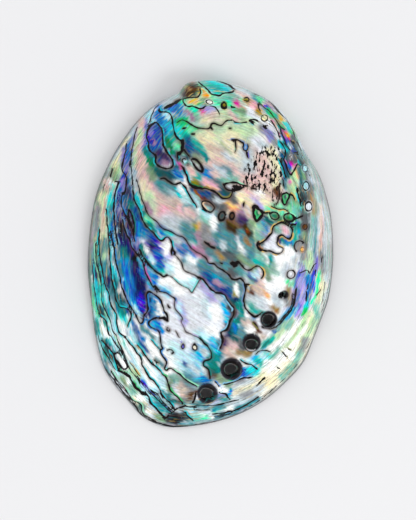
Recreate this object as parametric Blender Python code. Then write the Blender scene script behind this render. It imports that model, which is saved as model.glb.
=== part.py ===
# A polished abalone shell: one grown piece, open underneath and resting on its rim.
# +Y follows the long axis towards the spire, +Z goes up through the dome.
# Lengths are in millimetres until the last step, which turns them into metres.

import math

import bmesh
import bpy
import numpy as np

shell_length = 150.0
shell_width = 105.4
shell_height = 38.0
wall_top = 2.7
wall_side = 2.6

# Top of the dome, seen from above, and the tip of the spire that everything grew from.
crown = np.array([8.6, 20.0])
apex = np.array([-16.8, 68.4])

# Seen from above, clockwise from the spire: over the dome, down the straight side,
# round the growing edge and back up the thin lip.
outline_points = [
    (-20.2, 70.4), (-18.1, 72.6), (-13.1, 74.2), (-4.7, 75.0), (0.5, 74.7),
    (7.2, 72.9), (11.7, 71.3), (17.5, 69.0), (22.1, 66.1), (26.5, 61.4),
    (32.0, 54.8), (34.8, 49.1), (40.3, 42.9), (44.0, 36.8), (46.9, 29.9),
    (49.5, 22.5), (52.4, 5.2), (52.5, -11.1), (50.6, -20.3), (47.9, -30.5),
    (44.8, -40.8), (38.2, -50.1), (30.1, -58.8), (20.2, -65.9), (8.4, -71.2),
    (-4.5, -74.4), (-11.8, -75.0), (-21.1, -72.0), (-26.9, -66.7), (-34.1, -60.2),
    (-40.7, -51.5), (-45.6, -38.4), (-48.9, -24.6), (-51.5, -13.3), (-52.7, 0.8),
    (-52.1, 19.3), (-47.7, 35.2), (-43.6, 44.3), (-37.9, 54.0), (-32.2, 60.7),
    (-26.3, 65.2), (-21.4, 68.0),
]

# How the side of the shell changes around the crown. Each row: bearing in degrees from +X,
# fullness of the dome, steepness of its side, height of the widest point, how far the rim
# is tucked under it, width of the rim seen from below, height where the inner wall turns
# into the rim.
side_rows = [
    (-25, 3.1, 0.74, 1.4, 0.2, 6.5, 7.0),
    (10, 3.5, 0.68, 1.6, 0.2, 7.5, 8.0),
    (34, 3.9, 0.62, 2.6, 0.6, 8.5, 8.5),
    (48, 3.6, 0.62, 8.0, 2.8, 9.5, 9.0),
    (65, 3.1, 0.66, 11.5, 4.6, 11.0, 9.5),
    (95, 2.8, 0.70, 12.0, 5.2, 12.0, 9.5),
    (116, 2.6, 0.72, 10.5, 4.2, 12.0, 8.5),
    (128, 2.4, 0.76, 5.5, 1.5, 8.0, 5.5),
    (140, 2.3, 0.80, 2.2, 0.4, 4.0, 2.6),
    (160, 2.3, 0.80, 1.3, 0.3, 2.0, 1.2),
    (200, 2.3, 0.78, 1.2, 0.3, 1.7, 1.0),
    (245, 2.1, 0.78, 1.2, 0.3, 1.7, 1.0),
    (265, 2.0, 0.80, 1.2, 0.3, 1.7, 1.0),
    (285, 2.2, 0.80, 1.2, 0.3, 2.2, 1.4),
    (300, 2.4, 0.78, 1.2, 0.3, 3.6, 3.0),
    (318, 2.7, 0.76, 1.3, 0.2, 5.2, 5.0),
]
bearing_blur = 13
corner_blur = 14.0
corner_hold = 14

# Places where the growing edge lifts off the ground: bearing, half width in degrees, lift.
rim_lifts = [
    (262.0, 4.5, 1.5),
    (236.0, 7.0, 0.7),
    (206.0, 9.0, 0.5),
    (288.0, 6.0, 0.6),
]

# The breathing holes lie on a growth spiral about the apex.
spiral_radius = 139.0
spiral_ratio = 0.926
spiral_start = 4.5
spiral_step = 5.23

# Steps along the spiral, radius of the bore and radius of the raised collar.
open_holes = [
    (1, 2.25, 4.1),
    (2, 2.3, 4.3),
    (3, 2.2, 4.0),
    (4, 2.15, 4.0),
    (5, 1.3, 3.2),
]
sealed_holes = [6, 7, 8, 9, 10, 11]
collar_height = 0.8
bore_sink = 0.7
block_margin = 0.5
bore_sides = 16
crease_angle = 50.0

ridge_height = 1.2
ridge_spread = 4.4
groove_depth = 1.1
groove_offset = 7.6
groove_spread = 2.8
knob_height = 0.9
knob_spread = 2.6
ledge_height = 0.4
ledge_period = 4.6
ledge_reach = 26.0
ledge_side = 25.0

# The crevice where the lip runs up against the spire.
suture_line = [(-19.6, 66.6), (-23.8, 62.5), (-27.0, 58.6), (-28.0, 53.5)]
suture_depth = 1.7
suture_spread = 2.3

# The last hole is still a notch filling up, and the tip of the spire stands a little proud.
forming_depth = 1.3
forming_spread = 3.4
spire_height = 1.1
spire_spread = 3.6
inner_ridge_height = 0.5
inner_ridge_spread = 4.0

# Broad, shallow unevenness of the dome: height, then two waves as x rate, y rate and start.
undulations = [
    (0.35, (0.21, 0.13, 1.0), (0.09, -0.17, 0.0)),
    (0.25, (0.36, -0.11, 0.0), (0.15, 0.27, 2.0)),
]

# How the surfaces turn into the flat rim: share of the way outwards or inwards, share of
# the height that is left.
under_rows = [
    (0.26, 0.33),
    (1.0, 0.0),
]
shelf_rows = [
    (0.10, 0.55),
    (0.60, 0.30),
    (1.0, 0.0),
]
inner_foot_share = 0.75
inner_foot_least = 1.0

outline_samples = 1440
slope_step = 0.4
slope_reach = 0.975
depth_limit = 90.0
depth_step = 0.25
hole_pull = 6.5
hole_room = 7.5
hole_room_share = 0.85
spire_crowding_reach = 16.0
patch_cells = 26
patch_reach = 0.5
patch_turn = -60.0 / 360.0
outer_rings = 13
inner_rings = 11
ring_easing = 0.85
sheet_centre = np.array([2.0, 4.0])
spire_crowding = 0.8


def closedCurve(points, samples):
    """Smooth closed curve through the points, counter-clockwise, evenly spaced."""
    knots = np.array(points[::-1], dtype=float)
    before = np.roll(knots, 1, axis=0)
    after = np.roll(knots, -1, axis=0)
    beyond = np.roll(knots, -2, axis=0)
    pieces = []
    for t in np.linspace(0.0, 1.0, 24, endpoint=False):
        bend = 2.0 * before - 5.0 * knots + 4.0 * after - beyond
        twist = 3.0 * knots - before - 3.0 * after + beyond
        pieces.append(knots + 0.5 * t * ((after - before) + t * (bend + t * twist)))
    dense = np.stack(pieces, axis=1).reshape(-1, 2)
    closed = np.vstack([dense, dense[:1]])
    steps = np.hypot(*np.diff(closed, axis=0).T)
    travelled = np.concatenate([[0.0], np.cumsum(steps)])
    wanted = np.linspace(0.0, travelled[-1], samples, endpoint=False)
    x = np.interp(wanted, travelled, closed[:, 0])
    y = np.interp(wanted, travelled, closed[:, 1])
    return np.column_stack([x, y])


outline = closedCurve(outline_points, outline_samples)


def bearingOf(offsets):
    return np.degrees(np.arctan2(offsets[:, 1], offsets[:, 0]))


def aroundTable():
    """Side shape per degree of bearing, with the corners between rows rounded off."""
    rows = np.array(side_rows, dtype=float)
    degrees = np.arange(360.0)
    columns = []
    for column in range(1, rows.shape[1]):
        values = np.interp(degrees, rows[:, 0], rows[:, column], period=360.0)
        blurred = np.zeros(360)
        for shift in range(-bearing_blur // 2, bearing_blur // 2 + 1):
            blurred += np.roll(values, shift)
        columns.append(blurred / (2 * (bearing_blur // 2) + 2))
    return degrees, columns


around_degrees, around_columns = aroundTable()


def sideShape(bearing):
    return [np.interp(bearing, around_degrees, c, period=360.0) for c in around_columns]


def outlineRadius(bearing):
    offsets = outline - crown
    return np.interp(bearing, bearingOf(offsets), np.hypot(*offsets.T), period=360.0)


def bluntRadius(bearing):
    """The outline without its small corners, so that they don't run up the dome."""
    total = np.zeros_like(bearing)
    shifts = np.linspace(-corner_blur, corner_blur, 9)
    for shift in shifts:
        total += outlineRadius(bearing + shift)
    return total / len(shifts)


def reachOf(xy, inside):
    """0 on the crown, 1 on the outline of the outer or the inner surface."""
    offsets = xy - crown
    bearing = bearingOf(offsets)
    distance = np.hypot(*offsets.T)
    thickness = wall_side if inside else 0.0
    sharp = outlineRadius(bearing) - thickness
    blunt = bluntRadius(bearing) - thickness
    corner = np.clip(distance / sharp, 0.0, 1.0) ** corner_hold
    return np.clip(distance / (blunt + (sharp - blunt) * corner), 0.0, 1.0)


def domeHeight(xy, inside):
    """Height of the smooth outer or inner surface above the ground."""
    offsets = xy - crown
    bearing = bearingOf(offsets)
    fullness, steepness, foot = sideShape(bearing)[:3]
    top = shell_height
    if inside:
        foot = np.maximum(inner_foot_least, inner_foot_share * foot)
        top = shell_height - wall_top
    reach = reachOf(xy, inside)
    rise = (1.0 - reach ** fullness) ** steepness
    return foot + (top - foot) * rise


def surfaceNormal(xy, inside):
    """Direction away from the shell's body, with the vertical rim kept finite."""
    offsets = xy - crown
    bearing = bearingOf(offsets)
    radius = outlineRadius(bearing)
    if inside:
        radius = radius - wall_side
    reach = np.hypot(*offsets.T) / radius
    pull = np.minimum(1.0, slope_reach / np.maximum(reach, 0.01))
    base = crown + offsets * pull[:, None]
    east = np.array([slope_step, 0.0])
    north = np.array([0.0, slope_step])
    rise_x = domeHeight(base + east, inside) - domeHeight(base - east, inside)
    rise_y = domeHeight(base + north, inside) - domeHeight(base - north, inside)
    slope_x = rise_x / (2 * slope_step)
    slope_y = rise_y / (2 * slope_step)
    normal = np.column_stack([-slope_x, -slope_y, np.ones(len(xy))])
    return normal / np.linalg.norm(normal, axis=1)[:, None]


def spiralPoint(step):
    angle = np.radians(spiral_start + spiral_step * np.asarray(step, dtype=float))
    radius = spiral_radius * spiral_ratio ** np.asarray(step, dtype=float)
    return np.stack([apex[0] + radius * np.sin(angle), apex[1] - radius * np.cos(angle)], -1)


def distanceToLine(xy, line):
    """Distance to a polyline, and which side of it: positive on the right."""
    start = line[:-1]
    along = np.diff(line, axis=0)
    lengths = np.sum(along ** 2, axis=1)
    offsets = xy[:, None, :] - start[None, :, :]
    t = np.clip(np.sum(offsets * along, axis=2) / lengths, 0.0, 1.0)
    gaps = offsets - t[:, :, None] * along
    distances = np.linalg.norm(gaps, axis=2)
    nearest = np.argmin(distances, axis=1)
    rows = np.arange(len(xy))
    gap = gaps[rows, nearest]
    heading = along[nearest]
    side = np.sign(heading[:, 1] * gap[:, 0] - heading[:, 0] * gap[:, 1])
    return distances[rows, nearest], side


def growthDepth(xy):
    """How far back from the present edge a place was built, in degrees of coiling."""
    edge = outline - apex
    edge_bearing = np.degrees(np.arctan2(edge[:, 0], -edge[:, 1]))
    edge_radius = np.hypot(*edge.T)
    offsets = xy - apex
    bearing = np.degrees(np.arctan2(offsets[:, 0], -offsets[:, 1]))
    distance = np.hypot(*offsets.T)
    shrink = -math.log(spiral_ratio) / spiral_step
    depth = np.zeros(len(xy))
    for turn in np.arange(0.0, depth_limit, depth_step):
        radius = np.interp(bearing - turn, edge_bearing, edge_radius, period=360.0)
        outside = distance < radius * math.exp(-shrink * turn)
        depth = np.where(outside & (depth >= turn - 1.04 * depth_step), turn, depth)
    return depth


def relief(xy):
    """Raised and sunken forms of the outer surface, measured along its normal."""
    bearing = bearingOf(xy - crown)
    reach = np.hypot(*(xy - crown).T) / outlineRadius(bearing)
    calm = 1.0 - np.clip(reach, 0.0, 1.0) ** 12
    row_line = spiralPoint(np.arange(-0.4, 11.0, 0.25))
    gap, side = distanceToLine(xy, row_line)
    flank = np.where(side > 0.0, gap, -gap)
    height = ridge_height * np.exp(-(gap / ridge_spread) ** 2)
    height -= groove_depth * np.exp(-((flank - groove_offset) / groove_spread) ** 2)
    for step in sealed_holes:
        away = np.linalg.norm(xy - spiralPoint(step), axis=1)
        height += knob_height * np.exp(-(away / knob_spread) ** 2)
    suture_gap, _ = distanceToLine(xy, np.array(suture_line))
    height -= suture_depth * np.exp(-(suture_gap / suture_spread) ** 2)
    depth = growthDepth(xy)
    wave = np.sin(2.0 * math.pi * depth / ledge_period)
    fade = np.clip(1.0 - depth / ledge_reach, 0.0, 1.0)
    fade *= np.clip((ledge_side - xy[:, 0]) / 20.0, 0.0, 1.0)
    height += ledge_height * fade * wave
    x, y = xy[:, 0], xy[:, 1]
    for swell, (a, b, c), (d, e, f) in undulations:
        height += swell * np.sin(a * x + b * y + c) * np.sin(d * x + e * y + f)
    height *= calm
    forming = np.linalg.norm(xy - spiralPoint(0.0), axis=1)
    height -= forming_depth * np.exp(-(forming / forming_spread) ** 2)
    spire = np.linalg.norm(xy - apex, axis=1)
    height += spire_height * np.exp(-(spire / spire_spread) ** 2)
    return height


def edgeFraction(turn):
    """Where round the outline a spoke ends; spokes crowd together near the spire."""
    fine = np.linspace(0.0, 1.0, 2001)
    here = outline[(fine * outline_samples).astype(int) % outline_samples]
    near = np.exp(-(np.linalg.norm(here - apex, axis=1) / spire_crowding_reach) ** 2)
    crowding = 1.0 + spire_crowding * near
    reach = np.concatenate([[0.0], np.cumsum(crowding[:-1])])
    return np.interp(turn % 1.0, reach / reach[-1], fine)


def sheetGrid(rings, inside):
    """Flat layout of one sheet: a square patch inside rings."""
    cells = patch_cells
    steps = np.linspace(-1.0, 1.0, cells + 1)
    u, v = np.meshgrid(steps, steps, indexing="ij")
    disc_x = (u * np.sqrt(1.0 - v * v / 2.0)).ravel()
    disc_y = (v * np.sqrt(1.0 - u * u / 2.0)).ravel()
    faces = []
    for i in range(cells):
        for j in range(cells):
            a = i * (cells + 1) + j
            b = a + cells + 1
            faces.append((a, b, b + 1, a + 1))
    loop = [i * (cells + 1) for i in range(cells)]
    loop += [cells * (cells + 1) + j for j in range(cells)]
    loop += [i * (cells + 1) + cells for i in range(cells, 0, -1)]
    loop += [j for j in range(cells, 0, -1)]
    turns = list(np.arctan2(disc_y, disc_x) / (2 * math.pi) + patch_turn)
    reaches = list(np.hypot(disc_x, disc_y) * patch_reach)
    loop_turns = [turns[k] for k in loop]
    previous = loop
    for ring in range(1, rings + 1):
        eased = (ring / rings) ** ring_easing
        first = len(turns)
        turns += loop_turns
        reaches += [patch_reach + (1.0 - patch_reach) * eased] * len(loop)
        current = list(range(first, first + len(loop)))
        for k in range(len(loop)):
            m = (k + 1) % len(loop)
            faces.append((previous[k], current[k], current[m], previous[m]))
        previous = current
    index = (edgeFraction(np.array(turns)) * outline_samples) % outline_samples
    low = np.floor(index).astype(int) % outline_samples
    high = (low + 1) % outline_samples
    part = (index - np.floor(index))[:, None]
    rim = outline[low] * (1.0 - part) + outline[high] * part
    if inside:
        rim = innerTurnPoints(rim)
    points = sheet_centre + np.array(reaches)[:, None] * (rim - sheet_centre)
    return points, faces, previous, np.array(reaches)


def innerTurnPoints(rim):
    """Where the inner wall reaches the height at which it turns into the rim."""
    offsets = rim - crown
    bearing = bearingOf(offsets)
    fullness, steepness, widest, _, _, turn = sideShape(bearing)
    foot = np.maximum(inner_foot_least, inner_foot_share * widest)
    height = np.maximum(turn, foot + 0.05)
    rise = (height - foot) / (shell_height - wall_top - foot)
    reach = (1.0 - rise ** (1.0 / steepness)) ** (1.0 / fullness)
    radius = (outlineRadius(bearing) - wall_side) * reach
    direction = offsets / np.hypot(*offsets.T)[:, None]
    return crown + direction * radius[:, None]


def holeCentre(step, inside):
    centre = spiralPoint(float(step))
    if inside:
        normal = surfaceNormal(centre[None, :], False)[0]
        centre = centre - normal[:2] * wall_top
    return centre


def openHoles(points, faces, reaches, inside):
    """Shift the layout so that a grid point sits at each hole, and free its four faces."""
    centres = [holeCentre(step, inside) for step, bore, collar in open_holes]
    neighbours = {}
    for face in faces:
        for corner in face:
            neighbours.setdefault(corner, []).append(face)
    still = (1.0 - reaches ** 8)[:, None]
    picks = []
    for centre in centres:
        near = np.linalg.norm(points - centre, axis=1)
        for taken in picks:
            clash = {c for f in neighbours[taken] for c in f}
            near[list(clash)] = 1e9
        regular = np.array([len(neighbours[k]) == 4 for k in range(len(points))])
        picks.append(int(np.argmin(np.where(regular, near, 1e9))))
    for _ in range(6):
        shift = np.zeros_like(points)
        for pick, centre in zip(picks, centres):
            away = np.linalg.norm(points - points[pick], axis=1)
            pull = np.exp(-(away / hole_pull) ** 2)[:, None]
            shift += pull * (centre - points[pick])
        points = points + shift * still
    for centre, (step, bore, collar) in zip(centres, open_holes):
        offsets = points - centre
        away = np.maximum(np.hypot(*offsets.T), 1e-6)
        room = (hole_room_share * collar) ** 2 * np.exp(-(away / hole_room) ** 2)
        points = points + offsets * (np.sqrt(away ** 2 + room) / away - 1.0)[:, None] * still
    loops = []
    removed = set()
    for pick, centre, (step, bore, collar) in zip(picks, centres, open_holes):
        ring = {}
        for face in neighbours[pick]:
            removed.add(face)
            at = face.index(pick)
            ring[face[(at + 1) % 4]] = face[(at + 2) % 4]
            ring[face[(at + 2) % 4]] = face[(at + 3) % 4]
        loop = [next(iter(ring))]
        while ring[loop[-1]] != loop[0]:
            loop.append(ring[loop[-1]])
        offsets = points[loop] - centre
        lengths = np.hypot(*offsets.T)
        radius = collar + block_margin
        evened = evenAngles(offsets)
        points[loop] = centre + evened * (0.6 * radius + 0.4 * lengths)[:, None]
        loops.append(loop)
    kept = [face for face in faces if face not in removed]
    return points, kept, loops, centres


def evenAngles(offsets):
    """Unit directions for a hole's surrounding points, spread a little more evenly."""
    angles = np.unwrap(np.arctan2(offsets[:, 1], offsets[:, 0]))
    sense = 1.0 if angles[-1] > angles[0] else -1.0
    even = np.arange(len(offsets)) * sense * 2.0 * math.pi / len(offsets)
    even += np.mean(angles - even)
    mixed = 0.6 * even + 0.4 * angles
    return np.column_stack([np.cos(mixed), np.sin(mixed)])


def sheetHeights(points, inside):
    """Place flat layout points on the finished outer or inner surface."""
    base = np.column_stack([points, domeHeight(points, inside)])
    normal = surfaceNormal(points, inside)
    if not inside:
        return base + normal * relief(points)[:, None]
    row_line = spiralPoint(np.arange(0.6, 11.0, 0.25))
    gap, _ = distanceToLine(points, row_line)
    swell = inner_ridge_height * np.exp(-(gap / inner_ridge_spread) ** 2)
    return base + normal * swell[:, None]


class Builder:
    """Collects the points and faces of the single closed body."""

    def __init__(self):
        self.points = []
        self.faces = []

    def addPoints(self, points):
        first = len(self.points)
        self.points.extend(tuple(float(c) for c in p) for p in points)
        return list(range(first, first + len(points)))

    def bridge(self, ring, other):
        count = len(ring)
        for k in range(count):
            m = (k + 1) % count
            self.faces.append((ring[k], other[k], other[m], ring[m]))


def holeRing(builder, centre, start, sense, radius, offset, inside):
    angles = start + sense * np.arange(bore_sides) * 2.0 * math.pi / bore_sides
    flat = centre + radius * np.column_stack([np.cos(angles), np.sin(angles)])
    placed = sheetHeights(flat, inside) + surfaceNormal(flat, inside) * offset
    return builder.addPoints(placed)


def addSheet(builder, rings, inside):
    """Add one sheet with its hole mouths. Returns its edge and the mouths' rings."""
    points, faces, edge, reaches = sheetGrid(rings, inside)
    points, faces, loops, centres = openHoles(points, faces, reaches, inside)
    placed = sheetHeights(points, inside)
    used = sorted({corner for face in faces for corner in face})
    names = dict(zip(used, builder.addPoints(placed[used])))
    for face in faces:
        builder.faces.append(tuple(names[corner] for corner in face))
    mouths = []
    for loop, centre, (step, bore, collar) in zip(loops, centres, open_holes):
        offsets = points[loop] - centre
        angles = np.unwrap(np.arctan2(offsets[:, 1], offsets[:, 0]))
        sense = 1.0 if angles[-1] > angles[0] else -1.0
        start = angles[0]
        rim = [names[corner] for corner in loop]
        if inside:
            mouth = holeRing(builder, centre, start, sense, bore * 1.15, -0.1, inside)
            fanRing(builder, rim, mouth)
        else:
            crest = holeRing(builder, centre, start, sense, collar * 0.9, collar_height, inside)
            mouth = holeRing(builder, centre, start, sense, bore, -bore_sink, inside)
            fanRing(builder, rim, crest)
            builder.bridge(crest, mouth)
        mouths.append((mouth, start, sense))
    return [names[corner] for corner in edge], points[edge], mouths


def fanRing(builder, rim, ring):
    """Join eight surrounding points to the sixteen of a ring."""
    for k in range(len(rim)):
        m = (k + 1) % len(rim)
        last = (2 * k + 2) % len(ring)
        builder.faces.append((rim[k], ring[2 * k], ring[2 * k + 1], ring[last], rim[m]))


def joinMouths(builder, outer, inner):
    """Line each bore, matching the rings where they start closest together."""
    for (top, top_start, top_sense), (low, low_start, low_sense) in zip(outer, inner):
        ordered = list(low) if top_sense == low_sense else [low[0]] + low[:0:-1]
        turned = (top_start - low_start) * top_sense * bore_sides / (2.0 * math.pi)
        shift = int(round(turned)) % bore_sides
        matched = ordered[shift:] + ordered[:shift]
        builder.bridge(top, matched)


def edgeRings(builder, edge_xy, table):
    """Rings of the rim below a sheet's edge: rows of radius offset and height."""
    offsets = edge_xy - crown
    direction = offsets / np.hypot(*offsets.T)[:, None]
    rings = []
    for radius, height in table:
        flat = crown + direction * radius[:, None]
        rings.append(builder.addPoints(np.column_stack([flat, height])))
    return rings


def buildShell():
    builder = Builder()
    outer_edge, outer_xy, outer_mouths = addSheet(builder, outer_rings, False)
    inner_edge, inner_xy, inner_mouths = addSheet(builder, inner_rings, True)
    bearing = bearingOf(outer_xy - crown)
    _, _, widest, tuck, _, _ = sideShape(bearing)
    radius = np.hypot(*(outer_xy - crown).T)
    under = [(radius - way * tuck, left * widest) for way, left in under_rows]
    outer_low = edgeRings(builder, outer_xy, under)
    builder.bridge(outer_edge, outer_low[0])
    builder.bridge(outer_low[0], outer_low[1])
    inner_bearing = bearingOf(inner_xy - crown)
    inner_radius = np.hypot(*(inner_xy - crown).T)
    inner_height = domeHeight(inner_xy, True)
    _, _, _, inner_tuck, inner_lip, _ = sideShape(inner_bearing)
    goal = outlineRadius(inner_bearing) - inner_tuck - inner_lip
    span = inner_radius - goal
    shelf = [(inner_radius - way * span, left * inner_height) for way, left in shelf_rows]
    inner_low = edgeRings(builder, inner_xy, shelf)
    builder.bridge(inner_edge, inner_low[0])
    builder.bridge(inner_low[0], inner_low[1])
    builder.bridge(inner_low[1], inner_low[2])
    builder.bridge(outer_low[1], inner_low[2])
    joinMouths(builder, outer_mouths, inner_mouths)
    return builder


def liftRim(points):
    """Let the growing edge rise off the ground in a few places."""
    bearing = bearingOf(points[:, :2] - crown)
    for middle, spread, lift in rim_lifts:
        away = (bearing - middle + 180.0) % 360.0 - 180.0
        low = np.clip(1.0 - points[:, 2] / 7.0, 0.0, 1.0)
        points[:, 2] += lift * low * np.exp(-(away / spread) ** 2)
    return points


def toMetres(points):
    """Centre the shell on its footprint, stand it on the ground and give it its size."""
    low = points.min(axis=0)
    high = points.max(axis=0)
    middle = (low + high) / 2.0
    middle[2] = low[2]
    size = np.array([shell_width, shell_length, shell_height])
    return (points - middle) * size / (high - low) * 0.001


def clearScene():
    for item in list(bpy.data.objects):
        bpy.data.objects.remove(item, do_unlink=True)


def makeObject(builder, name):
    points = toMetres(liftRim(np.array(builder.points)))
    mesh = bpy.data.meshes.new(name)
    mesh.from_pydata([tuple(p) for p in points], [], builder.faces)
    shape = bmesh.new()
    shape.from_mesh(mesh)
    bmesh.ops.recalc_face_normals(shape, faces=shape.faces)
    if shape.calc_volume(signed=True) < 0.0:
        bmesh.ops.reverse_faces(shape, faces=shape.faces)
    shape.to_mesh(mesh)
    shape.free()
    material = bpy.data.materials.new("nacre")
    material.use_nodes = True
    shader = material.node_tree.nodes["Principled BSDF"]
    shader.inputs["Base Color"].default_value = (0.56, 0.66, 0.64, 1.0)
    shader.inputs["Roughness"].default_value = 0.18
    mesh.materials.append(material)
    mesh.shade_smooth()
    mesh.set_sharp_from_angle(angle=math.radians(crease_angle))
    item = bpy.data.objects.new(name, mesh)
    bpy.context.scene.collection.objects.link(item)
    return item


clearScene()
makeObject(buildShell(), "abalone_shell")
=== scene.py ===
import math

import bpy
import bmesh
import numpy as np
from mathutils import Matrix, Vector, noise


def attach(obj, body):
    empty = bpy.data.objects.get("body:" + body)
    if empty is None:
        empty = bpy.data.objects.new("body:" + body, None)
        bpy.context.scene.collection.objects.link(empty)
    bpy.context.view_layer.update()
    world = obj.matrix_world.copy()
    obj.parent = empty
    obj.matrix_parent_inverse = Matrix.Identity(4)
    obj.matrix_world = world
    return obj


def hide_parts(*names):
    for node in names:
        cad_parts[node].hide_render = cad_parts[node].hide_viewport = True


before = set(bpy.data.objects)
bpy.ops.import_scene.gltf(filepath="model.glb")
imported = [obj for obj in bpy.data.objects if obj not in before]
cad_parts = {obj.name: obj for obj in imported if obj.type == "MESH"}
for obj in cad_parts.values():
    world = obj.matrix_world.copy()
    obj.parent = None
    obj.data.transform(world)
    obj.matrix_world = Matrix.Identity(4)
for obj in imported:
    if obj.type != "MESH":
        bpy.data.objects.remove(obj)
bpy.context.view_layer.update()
print("frame loaded")

# Marks are written in steps on a tracing sheet laid over the shell, 416 wide and 520 high,
# counted from its top left corner. The sheet is turned a little against the long axis.
sheet = {
    "stepMm": 0.42644,
    "high": 520,
    "centre": (210.6, 256.0),
    "turnDeg": 6.6,
    "eyeOver": (208.0, 260.0),
    "eyeHeight": 1.3,
    "paperHeight": 0.006,
}
turnCos = math.cos(math.radians(sheet["turnDeg"]))
turnSin = math.sin(math.radians(sheet["turnDeg"]))


def onShell(points):
    p = np.asarray(points, dtype=float).reshape(-1, 2) - sheet["centre"]
    x = (p[:, 0] * turnCos + p[:, 1] * turnSin) * sheet["stepMm"]
    y = (p[:, 0] * turnSin - p[:, 1] * turnCos) * sheet["stepMm"]
    return np.column_stack([x, y])


def onSheet(metres):
    # where a place on the shell shows on the sheet for an eye straight above it
    eye = onShell(sheet["eyeOver"])[0]
    grow = (sheet["eyeHeight"] - sheet["paperHeight"]) / (sheet["eyeHeight"] - metres[:, 2])
    mm = (eye + (metres[:, :2] * 1000.0 - eye) * grow[:, None]) / sheet["stepMm"]
    x = mm[:, 0] * turnCos + mm[:, 1] * turnSin
    y = mm[:, 0] * turnSin - mm[:, 1] * turnCos
    return np.column_stack([x, y]) + sheet["centre"]


# the brightest white is the nacre's own white and also the colour of the painted highlights and
# painted reflections on the gloss
palette = {
    "ink": (14, 9, 10), "coal": (48, 46, 52), "brown": (96, 70, 58), "rust": (150, 92, 56),
    "gold": (222, 188, 112), "peach": (236, 204, 172), "cream": (234, 228, 206),
    "white": (250, 251, 250), "pearl": (226, 229, 234), "silver": (198, 206, 210),
    "lavender": (190, 186, 222), "haze": (160, 158, 192), "periwinkle": (132, 142, 216),
    "violet": (106, 96, 200), "indigo": (54, 48, 118), "navy": (34, 38, 92),
    "dusk": (76, 68, 98), "slate": (82, 104, 146), "steel": (112, 152, 190),
    "sky": (142, 200, 226), "ice": (206, 232, 238), "greyTeal": (112, 146, 152),
    "pine": (52, 92, 98), "paleGreen": (200, 218, 192), "sage": (142, 162, 142),
    "mint": (162, 234, 200), "green": (70, 196, 124), "emerald": (6, 134, 88),
    "teal": (4, 136, 132), "cyan": (20, 206, 216), "aqua": (128, 224, 222),
    "blue": (48, 70, 180), "azure": (44, 140, 210), "pink": (232, 198, 204),
    "blush": (222, 202, 198), "rose": (220, 140, 176), "magenta": (206, 104, 178),
    "mauve": (174, 150, 166), "beige": (208, 194, 186), "olive": (140, 138, 74),
    "grey": (146, 148, 150), "seafoam": (108, 178, 170), "celadon": (154, 188, 178),
    "denim": (108, 132, 178), "ash": (96, 100, 102), "turquoise": (40, 184, 170),
    "tan": (160, 142, 116), "umber": (66, 50, 30),
}


def linear(name):
    c = np.array(palette[name], dtype=float) / 255.0
    return np.where(c <= 0.04045, c / 12.92, ((c + 0.055) / 1.055) ** 2.4)
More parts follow.
